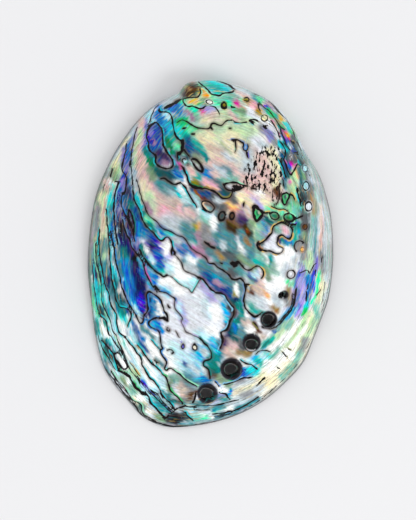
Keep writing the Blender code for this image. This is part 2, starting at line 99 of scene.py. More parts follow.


# Soft patches of colour, laid one over the other: colour, half width, soft edge, then the
# path's places, across and down in turn.
# The white patches are partly the nacre's own white and partly painted highlights and painted
# reflections of the lamps on the gloss.
patches = [
    ("ice", 8, 5, 172, 352, 182, 362, 192, 368),
    ("white", 20, 8, 112, 330, 124, 350, 142, 366, 150, 374),
    ("ice", 12, 6, 104, 320, 116, 345, 132, 372, 150, 396),
    ("white", 8, 5, 136, 320, 146, 338, 158, 352, 166, 366),
    ("cream", 17, 7, 302, 322, 292, 345, 276, 362, 262, 376),
    # at the lower right the white patch is partly the nacre's white, partly a painted reflection of
    # the lamp on the gloss
    ("white", 9, 6, 296, 328, 284, 345, 270, 362),
    ("lavender", 10, 5, 299, 280, 302, 292, 296, 308),
    ("white", 9, 4, 284, 256, 290, 264, 282, 280), ("white", 8, 4, 174, 262, 178, 272, 172, 268),
    ("greyTeal", 10, 6, 206, 216, 216, 226, 222, 240, 226, 254),
    ("blush", 17, 7, 252, 152, 262, 172, 266, 192),
    ("paleGreen", 9, 4, 142, 116, 128, 135, 118, 155, 110, 175, 104, 200, 99, 225, 96, 250),
    ("blush", 4, 3, 160, 100, 150, 111, 140, 122),
    ("silver", 3, 2, 131, 126, 121, 142, 111, 160, 104, 180),
    ("sage", 1.5, 1.5, 133, 131, 120, 152, 111, 173, 106, 192),
    ("cream", 1.5, 1.5, 128, 139, 119, 155, 113, 170, 108, 190, 104, 215, 102, 240),
    ("grey", 1.5, 1.5, 106, 172, 101, 188, 97, 204, 94, 222),
    ("cream", 1.5, 1, 101, 192, 97, 215, 95, 240),
    ("sage", 1.5, 1, 98, 198, 94, 225, 91, 255, 90, 280),
    ("mauve", 1, 1, 96, 205, 92, 232, 90, 255), ("beige", 1, 1, 106, 200, 103, 225, 103, 245),
    ("greyTeal", 8, 4, 100, 252, 99, 272, 103, 298), ("sage", 1.5, 1, 97, 240, 97, 262, 99, 280),
    ("paleGreen", 1.5, 1, 104, 235, 105, 255, 107, 275),
    ("aqua", 2, 1.5, 111, 178, 110, 196, 110, 215), ("white", 2.5, 1.5, 109, 178, 115, 182),
    ("greyTeal", 2, 1.5, 111, 205, 111, 226, 114, 248, 116, 262),
    ("steel", 1, 1, 111, 224, 113, 246), ("haze", 3, 2, 121, 184, 118, 200, 116, 215),
    ("indigo", 2.5, 2, 118, 196, 116, 210, 117, 226), ("sky", 1, 1, 115, 200, 114, 218),
    ("ice", 1.5, 1, 113, 247, 112, 253),
    ("denim", 3.5, 2, 137, 130, 134, 140, 130, 150, 127, 162, 126, 170),
    ("denim", 2, 2, 131, 148, 127, 163), ("denim", 2.5, 1.5, 123, 176, 122, 188),
    ("slate", 4, 2, 129, 172, 130, 188, 130, 200), ("dusk", 3, 2, 128, 188, 127, 196),
    ("slate", 4, 2, 126, 200, 128, 212, 130, 222), ("teal", 2.5, 2, 130, 204, 134, 209),
    ("slate", 5, 2, 136, 210, 141, 222, 148, 232, 156, 239), ("azure", 2, 2, 137, 224, 137, 236),
    ("indigo", 2.5, 2, 124, 214, 128, 228, 131, 238),
    ("teal", 2.5, 1.5, 134, 162, 134, 180, 137, 195, 141, 207, 146, 217),
    ("aqua", 1.5, 1, 137, 182, 140, 196, 144, 208), ("cyan", 1.2, 1, 135, 184, 138, 198, 142, 207),
    ("mint", 3, 2, 147, 218, 152, 225), ("mint", 1.5, 1.5, 147, 219, 151, 224),
    ("blush", 5, 3, 146, 122, 141, 135, 139, 150, 139, 165, 142, 182),
    ("paleGreen", 1.5, 1, 141, 130, 136, 145, 134, 160, 135, 175),
    ("blush", 9, 5, 149, 165, 152, 185, 158, 205, 170, 215), ("pink", 4, 3, 148, 172, 152, 186),
    ("cream", 4, 3, 143, 186, 147, 198), ("paleGreen", 3, 3, 148, 196, 155, 210),
    ("beige", 7, 5, 165, 205, 176, 212, 188, 222), ("pink", 5, 4, 165, 212, 172, 222),
    ("mauve", 2, 2, 147, 205, 150, 214), ("silver", 8, 5, 168, 224, 182, 232),
    ("greyTeal", 4, 4, 184, 190, 170, 192, 160, 184),
    ("lavender", 4, 3, 160, 104, 156, 113, 152, 121),
    ("haze", 2, 1.5, 152, 119, 147, 128, 144, 139, 145, 150),
    ("teal", 3, 2, 147, 151, 151, 160, 155, 169, 162, 175),
    ("emerald", 1.5, 1.5, 149, 158, 152, 166),
    ("slate", 8, 1.5, 155, 129, 155, 145, 160, 157, 165, 162),
    ("denim", 3, 3, 153, 128, 156, 140, 158, 148), ("mauve", 1, 2, 151, 139, 153, 142),
    ("blue", 1.5, 1.5, 148, 134, 149, 142), ("dusk", 3, 3, 160, 153, 166, 160),
    ("mauve", 1, 2, 163, 163, 167, 164), ("pearl", 1.3, 1, 163, 167, 169, 168, 172, 165),
    ("denim", 5, 3, 159, 118, 164, 121, 168, 130), ("ice", 2, 2, 166, 114, 169, 119),
    ("indigo", 2.5, 2, 164, 128, 166, 140, 172, 149), ("azure", 2, 2, 166, 124, 169, 136),
    ("seafoam", 3.5, 2.5, 170, 126, 172, 140, 178, 150),
    ("seafoam", 2, 1.5, 172, 134, 175, 143, 180, 149), ("sage", 2.5, 2, 179, 143, 180, 150),
    ("emerald", 1.5, 1.5, 166, 138, 171, 150, 174, 156),
    ("haze", 3, 2, 175, 158, 179, 166, 183, 174), ("rose", 1.2, 1.5, 179, 162, 182, 168),
    ("pine", 2.5, 2, 176, 168, 168, 174), ("steel", 3, 2, 168, 108, 175, 109),
    ("periwinkle", 5, 3, 178, 107, 182, 112, 188, 113), ("azure", 1.5, 1.5, 181, 103, 183, 108),
    ("teal", 3, 2, 174, 119, 176, 131), ("steel", 2, 2, 177, 117, 182, 118),
    ("silver", 3, 2, 176, 98, 168, 102, 163, 107), ("silver", 2, 2, 180, 93, 172, 97),
    ("brown", 6, 2, 185, 87, 191, 86, 194, 92), ("pine", 2, 2, 186, 94, 195, 95),
    ("rust", 1.2, 1.5, 188, 84, 193, 83), ("aqua", 5.5, 2, 206, 83, 214, 88, 225, 89),
    ("aqua", 2, 4, 214, 85, 222, 88), ("seafoam", 1.5, 2, 214, 87, 219, 88),
    ("mint", 3, 2, 199, 88, 206, 97, 213, 101), ("peach", 2.5, 2, 202, 91, 206, 97),
    ("mint", 4, 2, 184, 101, 194, 103, 203, 104), ("green", 1.5, 2, 196, 106, 204, 105),
    ("peach", 2.5, 2, 190, 103, 196, 101), ("mint", 4, 3, 214, 101, 224, 107, 232, 112),
    ("celadon", 4, 3, 222, 98, 233, 97, 238, 104), ("silver", 6, 4, 184, 113, 196, 115, 206, 119),
    ("celadon", 2.5, 3, 190, 112, 198, 118), ("lavender", 4, 3, 206, 109, 213, 112),
    ("mint", 2, 2, 190, 108, 197, 111), ("rose", 1, 1.5, 202, 110, 203, 114),
    ("cream", 5, 4, 208, 121, 222, 120), ("blush", 3, 3, 214, 117, 222, 122),
    ("paleGreen", 6, 4, 226, 114, 238, 116, 248, 118), ("mint", 2.5, 2, 228, 104, 234, 111),
    ("rose", 2, 2.5, 238, 103, 245, 108), ("mint", 2.5, 2, 244, 101, 250, 107, 250, 113),
    ("pink", 4, 3, 249, 101, 256, 106), ("pearl", 3, 3, 250, 112, 256, 115),
    ("blush", 3, 2, 236, 90, 245, 94, 252, 97), ("silver", 3, 2, 228, 82, 240, 88, 250, 92),
    ("green", 4, 3, 183, 123, 187, 130), ("green", 1.5, 1.5, 181, 122, 186, 126),
    ("turquoise", 5, 3, 186, 135, 192, 139), ("mint", 5, 4, 194, 132, 206, 136, 216, 131),
    ("paleGreen", 8, 5, 205, 136, 222, 132, 238, 132, 250, 134),
    ("paleGreen", 1.5, 3, 211, 128, 216, 133), ("cream", 1, 2.5, 208, 131, 213, 135),
    ("cream", 7, 5, 203, 143, 214, 152, 226, 163), ("teal", 3, 2, 187, 140, 193, 146),
    ("slate", 5, 3, 189, 144, 198, 151, 207, 160), ("seafoam", 2, 2, 194, 141, 203, 150),
    ("slate", 1, 2, 187, 147, 190, 151), ("sage", 3, 3, 196, 157, 203, 164),
    ("blush", 7, 5, 212, 161, 226, 168, 238, 176), ("cream", 3, 2, 208, 148, 214, 155),
    ("beige", 2, 2, 208, 146, 220, 153, 234, 160), ("sage", 2, 2, 222, 143, 230, 150),
    ("silver", 1.2, 2, 224, 155, 237, 161), ("cream", 6, 4, 228, 138, 240, 148, 246, 160),
    ("greyTeal", 4, 2.5, 221, 169, 229, 173), ("celadon", 3, 2, 220, 181, 236, 179),
    ("steel", 4, 3, 205, 172, 212, 180), ("pine", 4, 3, 214, 184, 222, 190, 228, 195),
    ("pine", 2, 2, 219, 188, 226, 194), ("pink", 3, 2, 200, 179, 208, 184, 216, 188),
    ("peach", 1.5, 1.5, 207, 187, 216, 190), ("silver", 5, 4, 246, 152, 248, 168),
    ("pearl", 4, 3, 256, 140, 262, 148), ("blush", 8, 6, 250, 188, 262, 198, 258, 206),
    ("lavender", 2, 3, 252, 200, 262, 206), ("white", 2, 2, 257, 191, 264, 199),
    ("cream", 3, 3, 240, 196, 252, 206), ("peach", 5, 4, 232, 206, 244, 212),
    ("peach", 1.5, 2, 230, 202, 238, 208), ("peach", 2, 3, 220, 202, 228, 206),
    ("mauve", 3, 3, 240, 214, 250, 218), ("cream", 4, 3, 271, 150, 276, 165, 277, 185),
    ("grey", 3, 2, 262, 128, 270, 136, 276, 142), ("haze", 2.5, 2, 267, 131, 270, 138),
    ("greyTeal", 3, 2, 255, 97, 266, 106, 275, 116, 283, 128, 288, 140),
    ("mint", 1.2, 1, 258, 98, 266, 105), ("pink", 1.2, 1, 263, 104, 272, 111),
    ("blue", 1.2, 1, 266, 105, 270, 109), ("green", 1.5, 1, 269, 110, 274, 117),
    ("blush", 1.5, 1, 271, 119, 276, 126), ("pearl", 1.5, 1, 269, 121, 275, 130, 278, 136),
    ("gold", 1.5, 1, 280, 116, 285, 124), ("peach", 1.2, 1, 279, 122, 283, 127),
    ("cyan", 1.5, 1, 285, 123, 289, 128), ("teal", 1.5, 1, 281, 126, 283, 131),
    ("rose", 1.8, 1.2, 285, 132, 289, 140), ("denim", 1.2, 1, 283, 134, 286, 142),
    ("gold", 0.8, 1, 287, 133, 289, 136), ("green", 1.8, 1.2, 291, 130, 296, 138),
    ("aqua", 1, 1, 294, 134, 296, 139), ("indigo", 2.5, 1.5, 293, 144, 295, 149),
    ("azure", 1, 1, 291, 146, 295, 148), ("cyan", 2, 1.2, 281, 144, 286, 152),
    ("teal", 1.2, 1, 283, 142, 287, 149), ("pine", 2.5, 1.5, 297, 154, 300, 161),
    ("pink", 1.5, 1.2, 293, 153, 295, 159), ("green", 1.2, 1, 296, 158, 297, 164),
    ("magenta", 1.2, 1.2, 291, 160, 293, 165), ("blue", 1.2, 1.2, 288, 163, 290, 170),
    ("slate", 2, 1.5, 281, 156, 283, 168, 285, 180), ("teal", 1, 1, 280, 161, 283, 172),
    ("paleGreen", 4, 2, 294, 170, 293, 183, 296, 195), ("peach", 1.5, 1.5, 297, 166, 298, 176),
    ("rose", 1, 1.5, 291, 182, 292, 188), ("greyTeal", 2.5, 2, 284, 182, 287, 188),
    ("sage", 3, 2, 292, 190, 293, 200, 291, 206), ("greyTeal", 3, 2, 301, 167, 303, 180, 302, 192),
    ("pine", 1.5, 1.2, 302, 198, 303, 207), ("pine", 1.5, 1.2, 304, 190, 307, 198),
    ("pearl", 3, 2, 304, 184, 306, 190), ("pine", 1.5, 1.5, 300, 160, 301, 172, 301, 186, 302, 200),
    ("ash", 3, 2, 304, 160, 307, 176, 307, 196, 306, 212, 305, 238, 303, 252),
    ("sage", 1, 1.5, 302, 168, 304, 178), ("grey", 5, 4, 316, 178, 321, 200, 323, 225, 322, 250),
    ("silver", 3, 2, 312, 168, 316, 190, 318, 215, 317, 240, 314, 262),
    ("silver", 2, 1.5, 320, 190, 325, 215, 326, 240, 325, 262),
    ("celadon", 1.2, 1, 312, 205, 313, 225, 311, 245),
    ("blush", 1, 1, 320, 205, 322, 225, 321, 248), ("grey", 2, 2, 311, 160, 318, 178),
    # the white and ice strokes across 171 to 202 and down 176 to 220 are partly the nacre's white,
    # partly painted highlights on the ripples across the band
    ("greyTeal", 1, 1, 316, 220, 316, 245, 313, 262), ("white", 7, 4, 176, 184, 186, 196, 196, 209),
    ("ice", 2.5, 2, 171, 186, 179, 193), ("ice", 3, 3, 182, 198, 192, 208),
    ("cyan", 1.2, 1.2, 172, 187, 178, 196), ("white", 3, 2, 182, 176, 186, 184, 193, 196, 199, 206),
    ("cyan", 1, 1, 178, 176, 183, 172), ("white", 3, 2, 198, 208, 202, 220),
    ("pine", 3, 2, 194, 190, 204, 191), ("slate", 5, 3, 197, 196, 207, 195, 216, 198),
    ("rust", 1, 1.5, 197, 193, 199, 198), ("celadon", 1.5, 1.2, 192, 196, 197, 203),
    ("ash", 2, 2, 212, 195, 217, 200), ("ash", 4, 3, 215, 204, 222, 208),
    ("beige", 5, 3, 176, 204, 188, 216, 200, 228), ("pink", 2.5, 2, 180, 208, 192, 220),
    ("olive", 2, 2.5, 192, 224, 199, 228), ("peach", 2, 2.5, 200, 225, 206, 232),
    ("teal", 2.5, 3, 192, 232, 196, 240), ("silver", 5, 4, 176, 224, 184, 226),
    ("rose", 2, 1.5, 190, 247, 198, 253, 205, 257), ("mauve", 4, 3, 200, 236, 208, 244),
    ("ash", 2, 3, 204, 246, 212, 252), ("silver", 2.5, 2, 211, 214, 213, 229),
    ("white", 1.5, 2, 212, 218, 213, 227), ("greyTeal", 2.5, 2, 224, 222, 227, 238, 229, 250),
    ("pine", 4, 3, 218, 250, 232, 258, 240, 262), ("greyTeal", 5, 4, 222, 262, 236, 270),
    ("brown", 4, 4, 230, 222, 238, 228, 248, 232), ("tan", 2, 2.5, 232, 224, 236, 230),
    ("umber", 1.5, 2, 246, 229, 249, 234), ("dusk", 3, 3, 240, 220, 248, 222),
    ("white", 2.5, 2.5, 237, 240, 240, 248), ("greyTeal", 2, 2, 232, 234, 236, 250),
    ("greyTeal", 2.5, 2.5, 244, 238, 250, 248, 254, 256), ("ash", 2, 2, 225, 254, 233, 258),
    ("sage", 2, 3, 240, 256, 248, 262), ("paleGreen", 3.5, 2, 255, 222, 254, 232, 257, 238),
    ("sage", 1.5, 1.5, 251, 222, 251, 234), ("steel", 4, 2.5, 262, 222, 266, 230),
    ("haze", 3, 2, 262, 236, 266, 240), ("greyTeal", 1.5, 1.2, 265, 218, 268, 224),
    ("teal", 3, 2.5, 266, 254, 269, 264), ("green", 2, 2, 262, 262, 268, 270),
    ("white", 3.5, 2, 262, 254, 263, 260), ("pearl", 6, 3, 272, 245, 280, 230, 288, 228),
    ("pink", 2, 2, 281, 228, 286, 232), ("mint", 7, 3, 274, 211, 288, 212, 298, 208),
    ("seafoam", 3, 2, 290, 215, 300, 212), ("emerald", 2, 2, 278, 220, 284, 222),
    ("teal", 4, 2.5, 296, 224, 297, 236, 294, 244), ("teal", 2, 1.5, 281, 238, 287, 243, 292, 242),
    ("indigo", 1.2, 1, 278, 238, 280, 243), ("azure", 1.2, 1.2, 298, 232, 302, 240),
    ("emerald", 2, 1.5, 288, 222, 293, 225), ("silver", 3, 2.5, 294, 238, 299, 240),
    ("white", 7, 4, 262, 285, 266, 300, 276, 304), ("blush", 3, 3, 258, 278, 262, 292),
    ("slate", 3, 2.5, 253, 272, 254, 282), ("ice", 2, 1.5, 254, 272, 256, 276),
    ("ash", 4, 3, 248, 284, 253, 292), ("brown", 2, 3, 247, 291, 254, 291),
    ("gold", 0.8, 1.2, 246, 285, 247, 290), ("celadon", 3, 2.5, 247, 302, 253, 309),
    ("seafoam", 3, 2, 250, 307, 258, 312, 266, 311), ("pearl", 2, 2, 262, 306, 272, 310),
    ("peach", 1.2, 2, 265, 292, 268, 297), ("mint", 2, 2, 288, 281, 296, 284),
    ("silver", 3, 2.5, 289, 266, 285, 274), ("steel", 3, 2, 166, 233, 176, 240, 184, 244),
    ("aqua", 1.5, 1, 163, 231, 170, 234, 178, 238), ("steel", 4, 2.5, 178, 243, 186, 250, 192, 256),
    ("denim", 2, 2, 180, 250, 185, 254), ("greyTeal", 5, 2, 186, 262, 196, 268, 206, 272),
    ("ice", 2.5, 2, 188, 256, 194, 262), ("white", 2, 2, 190, 258, 194, 262),
    ("greyTeal", 7, 3, 206, 272, 218, 280, 232, 290, 238, 300),
    ("slate", 5, 3, 204, 282, 216, 288, 228, 296), ("mauve", 3, 3, 202, 280, 208, 288),
    ("greyTeal", 3, 2, 222, 274, 232, 282, 240, 284),
    ("greyTeal", 2.5, 2, 240, 284, 243, 298, 241, 306), ("steel", 1.5, 2, 213, 276, 219, 282),
    ("white", 1.8, 1.5, 236, 286, 236, 294), ("olive", 0.8, 1, 234, 293, 235, 295),
    ("navy", 3, 2, 236, 300, 236, 312, 232, 322), ("pine", 3, 3, 240, 306, 240, 318),
    ("navy", 4, 2.5, 232, 320, 230, 330, 227, 334), ("teal", 3, 2.5, 236, 322, 235, 332, 238, 338),
    ("azure", 1, 1.5, 234, 326, 235, 331), ("cyan", 0.8, 0.8, 236, 316, 236, 317),
    ("cyan", 0.8, 0.8, 234, 318, 234, 319), ("ice", 0.8, 0.8, 239, 325, 240, 326),
    ("greyTeal", 4, 3, 247, 322, 243, 332, 240, 340), ("steel", 6, 2, 141, 236, 150, 250, 158, 262),
    ("haze", 5, 3, 142, 242, 150, 252, 156, 262), ("white", 1.5, 1.5, 141, 238, 142, 240),
    ("white", 3.5, 1.5, 146, 249, 147, 252), ("ice", 3, 1.5, 152, 258, 153, 261),
    ("white", 1.5, 1.5, 156, 265, 157, 267), ("turquoise", 3, 1.5, 158, 269, 164, 272),
    ("turquoise", 2, 1.5, 161, 272, 165, 275), ("violet", 4, 2, 156, 244, 160, 254, 164, 264),
    ("blue", 3, 2, 161, 254, 164, 262), ("navy", 2.5, 2, 150, 238, 154, 248),
    ("lavender", 7, 3, 166, 244, 166, 254), ("violet", 1.5, 2, 159, 248, 162, 256, 164, 263),
    ("white", 4, 2.5, 168, 244, 165, 251), ("ice", 3, 2, 166, 262, 170, 272),
    ("azure", 2, 1.5, 140, 248, 146, 262, 154, 272), ("teal", 1.5, 1.5, 141, 246, 144, 256),
    ("sky", 4, 3, 154, 274, 160, 284, 168, 290), ("white", 4, 3, 162, 280, 172, 284, 180, 290),
    ("steel", 1.5, 1.5, 152, 268, 158, 278),
    ("indigo", 9, 3, 128, 250, 132, 266, 135, 284, 138, 300),
    ("navy", 4, 3, 136, 262, 140, 280, 143, 296), ("teal", 2.5, 2.5, 122, 246, 124, 256, 128, 266),
    ("azure", 3, 3, 124, 262, 128, 274, 130, 288), ("slate", 3, 3, 130, 270, 133, 280),
    ("ink", 2, 2.5, 135, 258, 138, 268), ("steel", 2, 2, 121, 272, 124, 282, 128, 292),
    ("ice", 1.2, 1, 121, 275, 123, 280), ("azure", 2, 2, 130, 296, 133, 302),
    ("blue", 2, 2, 141, 292, 140, 300), ("violet", 3, 2, 141, 306, 140, 314),
    ("periwinkle", 2, 1.5, 139, 301, 143, 303), ("steel", 5, 2.5, 152, 298, 154, 308, 153, 314),
    ("azure", 1, 1, 149, 300, 150, 312), ("white", 2, 1.5, 159, 300, 161, 310, 164, 316),
    ("azure", 4, 2, 153, 323, 157, 325), ("sky", 2, 1.5, 151, 323, 153, 326),
    ("blue", 1, 1, 158, 322, 160, 327), ("lavender", 1.5, 3, 176, 302, 182, 314, 184, 322),
    # the lavender, ice and white strokes across 206 to 218, down 286 to 338 make a bright patch:
    # partly pearl white, partly painted reflection of the lamps
    ("lavender", 3, 3, 206, 286, 212, 298), ("ice", 1.5, 2.5, 206, 302, 209, 316),
    ("sky", 1.5, 2.5, 222, 300, 227, 320), ("white", 3, 3, 214, 308, 216, 318),
    ("white", 3, 4, 212, 332, 218, 338), ("ice", 3, 2, 184, 279, 192, 283, 196, 280),
    ("ice", 2, 2, 188, 285, 193, 286), ("white", 2, 2, 180, 276, 187, 277),
    ("ice", 4, 4, 200, 336, 208, 342, 216, 346), ("teal", 2, 2.5, 213, 344, 216, 352, 215, 362),
    ("sky", 6, 4, 205, 350, 198, 356, 204, 358), ("ice", 4, 4, 186, 362, 196, 368, 204, 374),
    ("slate", 1, 1.5, 183, 363, 187, 366), ("white", 2, 2, 203, 371, 206, 374),
    ("white", 2, 2, 194, 372, 196, 377), ("greyTeal", 4, 4, 188, 378, 198, 382, 206, 380),
    ("ash", 3, 3, 211, 370, 215, 376), ("brown", 1.5, 2, 214, 372, 217, 377),
    ("greyTeal", 5, 3, 220, 346, 218, 356), ("teal", 3, 2.5, 214, 352, 213, 364, 217, 370),
    ("dusk", 4, 3, 225, 340, 226, 348), ("dusk", 1, 2, 226, 345, 227, 348),
    ("blush", 3, 3, 233, 340, 234, 346), ("white", 2.5, 2, 234, 354, 238, 357),
    ("beige", 3, 3, 228, 352, 232, 358), ("beige", 3, 2, 246, 322, 252, 330, 262, 336),
    ("white", 4, 2, 250, 330, 257, 334), ("brown", 1.5, 1.5, 254, 324, 259, 332),
    ("white", 4, 2.5, 247, 357, 252, 361), ("tan", 2, 2, 243, 353, 250, 354),
    ("denim", 3, 2, 299, 278, 299, 290, 297, 302), ("periwinkle", 1.5, 1.5, 301, 276, 300, 284),
    ("periwinkle", 2.5, 2, 314, 274, 313, 286), ("steel", 2, 2, 309, 276, 308, 290, 306, 300),
    ("mint", 2, 1.5, 305, 258, 305, 272), ("paleGreen", 4, 2.5, 308, 255, 310, 265),
    ("haze", 2, 2, 317, 258, 316, 268), ("cream", 3, 2, 324, 268, 322, 284, 318, 300),
    ("silver", 2.5, 2, 327, 262, 326, 280), ("mint", 1, 1, 320, 272, 318, 290, 312, 304),
    ("cyan", 1.5, 1.2, 307, 302, 305, 307), ("green", 1, 1, 305, 308, 303, 314),
    ("sky", 3, 2.5, 295, 304, 288, 316, 280, 326), ("celadon", 2, 2, 284, 325, 276, 334, 268, 342),
    ("paleGreen", 2, 2, 292, 320, 284, 330, 276, 338), ("denim", 1, 1.2, 273, 331, 277, 331),
    ("seafoam", 2, 1.5, 271, 338, 264, 347), ("teal", 1, 1, 268, 342, 262, 350),
    ("paleGreen", 1.5, 1.5, 306, 315, 298, 332, 284, 350),
    ("paleGreen", 2, 1.5, 314, 318, 308, 332, 302, 346),
    ("celadon", 2.5, 2, 300, 352, 292, 366, 282, 378), ("paleGreen", 2, 1.5, 318, 318, 313, 330),
    ("sky", 3, 2, 252, 362, 258, 356, 264, 353), ("aqua", 3, 2, 260, 358, 267, 354),
    ("azure", 1, 1.2, 253, 366, 257, 361), ("azure", 4, 2, 246, 373, 251, 371),
    ("aqua", 3, 2, 251, 370, 255, 372), ("blue", 1.5, 1.2, 243, 369, 243, 376, 238, 378),
    ("azure", 1.5, 1, 240, 377, 232, 380), ("green", 1.5, 1, 231, 381, 226, 383),
    ("silver", 3, 3, 228, 388, 240, 386, 252, 382), ("cream", 3, 3, 232, 396, 246, 392, 256, 388),
    ("teal", 2, 1.2, 226, 394, 230, 390), ("azure", 1.5, 1.2, 228, 396, 231, 392),
    ("white", 2.5, 2, 220, 389, 224, 391), ("haze", 3, 2, 212, 399, 222, 397),
    ("silver", 9, 3, 196, 413, 212, 412, 230, 408, 248, 400),
    ("greyTeal", 2, 1.5, 196, 420, 214, 418, 232, 412, 248, 404, 258, 398),
    ("greyTeal", 1.5, 1.2, 232, 413, 244, 407, 254, 400), ("mint", 1.5, 1.2, 196, 419, 206, 418),
    ("white", 1.5, 1.2, 190, 414, 200, 417), ("white", 1.5, 1.2, 210, 410, 211, 418),
    ("mint", 1, 1, 213, 411, 219, 410), ("white", 2, 1.5, 222, 409, 230, 408),
    ("cyan", 1.2, 1.2, 97, 282, 98, 290, 100, 302), ("aqua", 2, 1.5, 101, 288, 104, 300, 108, 314),
    ("mint", 1.2, 1.2, 92, 285, 94, 300, 97, 315), ("teal", 2.5, 1.5, 100, 304, 102, 316),
    ("pine", 2, 1.5, 96, 264, 97, 280, 97, 296), ("azure", 2.5, 1.5, 113, 268, 114, 282, 117, 292),
    ("cyan", 1, 1, 114, 272, 116, 286), ("greyTeal", 2, 1.5, 106, 262, 107, 276, 109, 286),
    ("greyTeal", 2.5, 2, 111, 290, 114, 300, 120, 310), ("pine", 2.5, 2, 119, 296, 124, 304),
    ("denim", 3, 2, 119, 310, 126, 312), ("white", 5, 3, 124, 316, 124, 326),
    ("aqua", 3, 2, 119, 318, 119, 328), ("slate", 2.5, 1.5, 124, 331, 128, 330),
    ("aqua", 1.2, 1, 108, 318, 112, 328, 118, 338), ("ice", 3, 2, 102, 326, 107, 336, 104, 342),
    ("teal", 4, 1.5, 107, 343, 112, 350), ("navy", 2, 1.5, 110, 348, 114, 354),
    ("teal", 1.8, 1.2, 102, 342, 107, 351, 112, 359, 117, 366),
    ("greyTeal", 3, 1.5, 117, 356, 121, 364, 124, 368),
    ("white", 1.5, 1, 120, 355, 125, 362, 128, 368), ("aqua", 3, 2, 124, 342, 130, 352, 136, 362),
    ("aqua", 1.5, 1.5, 126, 342, 130, 350), ("cyan", 1, 1, 130, 330, 138, 342, 144, 354),
    ("peach", 1.2, 1, 137, 345, 141, 351, 145, 357), ("gold", 0.8, 0.8, 139, 347, 144, 356),
    ("slate", 1.8, 1.2, 133, 323, 138, 331, 142, 339, 146, 346, 152, 354),
    ("greyTeal", 2, 1.2, 142, 326, 148, 333, 153, 338), ("steel", 1.2, 1, 152, 355, 158, 360),
    ("white", 1.5, 1.2, 148, 340, 152, 348, 158, 356), ("ice", 3, 2, 148, 362, 156, 374, 164, 384),
    ("sky", 1.5, 1.2, 142, 376, 147, 383), ("violet", 1.2, 1.2, 141, 380, 146, 386),
    ("green", 1, 1, 125, 376, 128, 380), ("seafoam", 1.5, 1, 133, 380, 138, 389),
    ("teal", 1, 1, 150, 400, 154, 405), ("pink", 1.2, 1, 125, 388, 127, 391),
    ("silver", 3, 3, 130, 394, 140, 402, 150, 412), ("silver", 3, 2, 146, 408, 152, 413),
    ("cream", 3, 2, 136, 398, 142, 404), ("greyTeal", 2, 1.5, 156, 398, 164, 406, 170, 412),
    ("teal", 1.2, 1, 163, 391, 168, 396, 174, 402), ("greyTeal", 3, 2, 171, 379, 173, 390),
    ("sage", 1.5, 1.2, 168, 381, 171, 392), ("pearl", 4, 2, 178, 385, 179, 392),
    ("brown", 3, 3, 188, 396, 186, 402, 176, 404), ("greyTeal", 2, 2, 184, 396, 188, 392),
    ("greyTeal", 2.5, 2, 182, 404, 192, 404, 204, 405),
    # the coal and ink strokes paint the shade in the youngest hole at the growing edge, and the
    # small emerald stroke paints a glint inside it
    ("coal", 5, 2, 170, 419, 176, 416, 182, 412), ("ink", 2, 2, 175, 421, 180, 421),
    ("emerald", 0.8, 1, 173, 419, 176, 418), ("brown", 1, 1, 178, 412, 182, 415),
    ("pearl", 3, 2, 153, 108, 148, 114), ("steel", 2.5, 2, 160, 109, 158, 115),
    ("steel", 3, 2, 176, 109, 181, 113), ("sage", 2.5, 2, 239, 109, 244, 113),
    ("silver", 2, 2, 134, 124, 131, 133), ("pine", 3, 2, 184, 153, 189, 158),
    ("seafoam", 2.5, 2, 185, 163, 190, 168), ("pine", 4, 3, 158, 172, 170, 176),
    ("steel", 3, 2, 176, 172, 181, 176), ("greyTeal", 3, 2, 166, 181, 172, 186),
    ("sage", 3, 2, 149, 170, 153, 178), ("seafoam", 3, 2, 192, 172, 199, 177),
    ("ash", 2, 2, 192, 184, 200, 186), ("steel", 2, 2, 133, 172, 134, 190),
    ("pine", 1.5, 1.5, 283, 152, 287, 160), ("ash", 1.5, 1.5, 296, 153, 297, 160),
    ("grey", 2.5, 2, 98, 210, 96, 232), ("navy", 3, 2, 124, 230, 125, 243),
    ("steel", 2.5, 2, 141, 232, 142, 236), ("teal", 2, 2, 149, 225, 154, 231),
    ("steel", 2, 2, 158, 225, 163, 231), ("greyTeal", 3.5, 3, 184, 226, 190, 238),
    ("celadon", 2.5, 2, 203, 216, 206, 223), ("grey", 3, 3, 204, 226, 206, 240),
    ("umber", 2.5, 2, 229, 226, 236, 231), ("greyTeal", 3, 2, 241, 233, 243, 240),
    ("pine", 2, 2, 249, 234, 252, 241), ("umber", 2, 1.5, 245, 226, 249, 235),
    ("rust", 0.8, 1, 247, 230, 247.5, 232), ("pine", 2, 1.5, 266, 217, 270, 222),
    ("cream", 3, 2, 263, 199, 270, 206), ("mint", 2.5, 2, 268, 209, 284, 211, 294, 212),
    ("emerald", 2.2, 1, 273, 216, 277, 216.5), ("emerald", 2.5, 1, 288, 217.5, 292, 219),
    ("emerald", 1.5, 1, 256.5, 211, 258.5, 216), ("pine", 2, 1, 285, 196, 286, 203),
    ("seafoam", 3, 2, 294, 232, 296, 241), ("steel", 1.5, 1.5, 139, 258, 144, 268),
    ("azure", 2, 2, 148, 268, 154, 278), ("mauve", 3, 2, 198, 248, 208, 258),
    ("greyTeal", 3, 2, 202, 262, 208, 267), ("greyTeal", 3, 2, 210, 252, 218, 258),
    ("greyTeal", 3, 2, 238, 270, 245, 276), ("sage", 3, 2, 248, 262, 253, 267),
    ("greyTeal", 4, 2, 250, 243, 251, 258), ("celadon", 3, 2, 258, 252, 260, 258),
    ("seafoam", 2, 1.5, 256, 262, 263, 264), ("sage", 2, 2, 267, 268, 269, 276),
    ("silver", 2, 2, 295, 258, 297, 268), ("grey", 2, 2, 303, 250, 306, 259),
    ("aqua", 2, 1.5, 105, 294, 107, 305), ("slate", 2.5, 1.5, 120, 308, 128, 311),
    ("navy", 2, 1.5, 141, 314, 143, 320), ("pine", 3.5, 2, 231, 304, 233, 314),
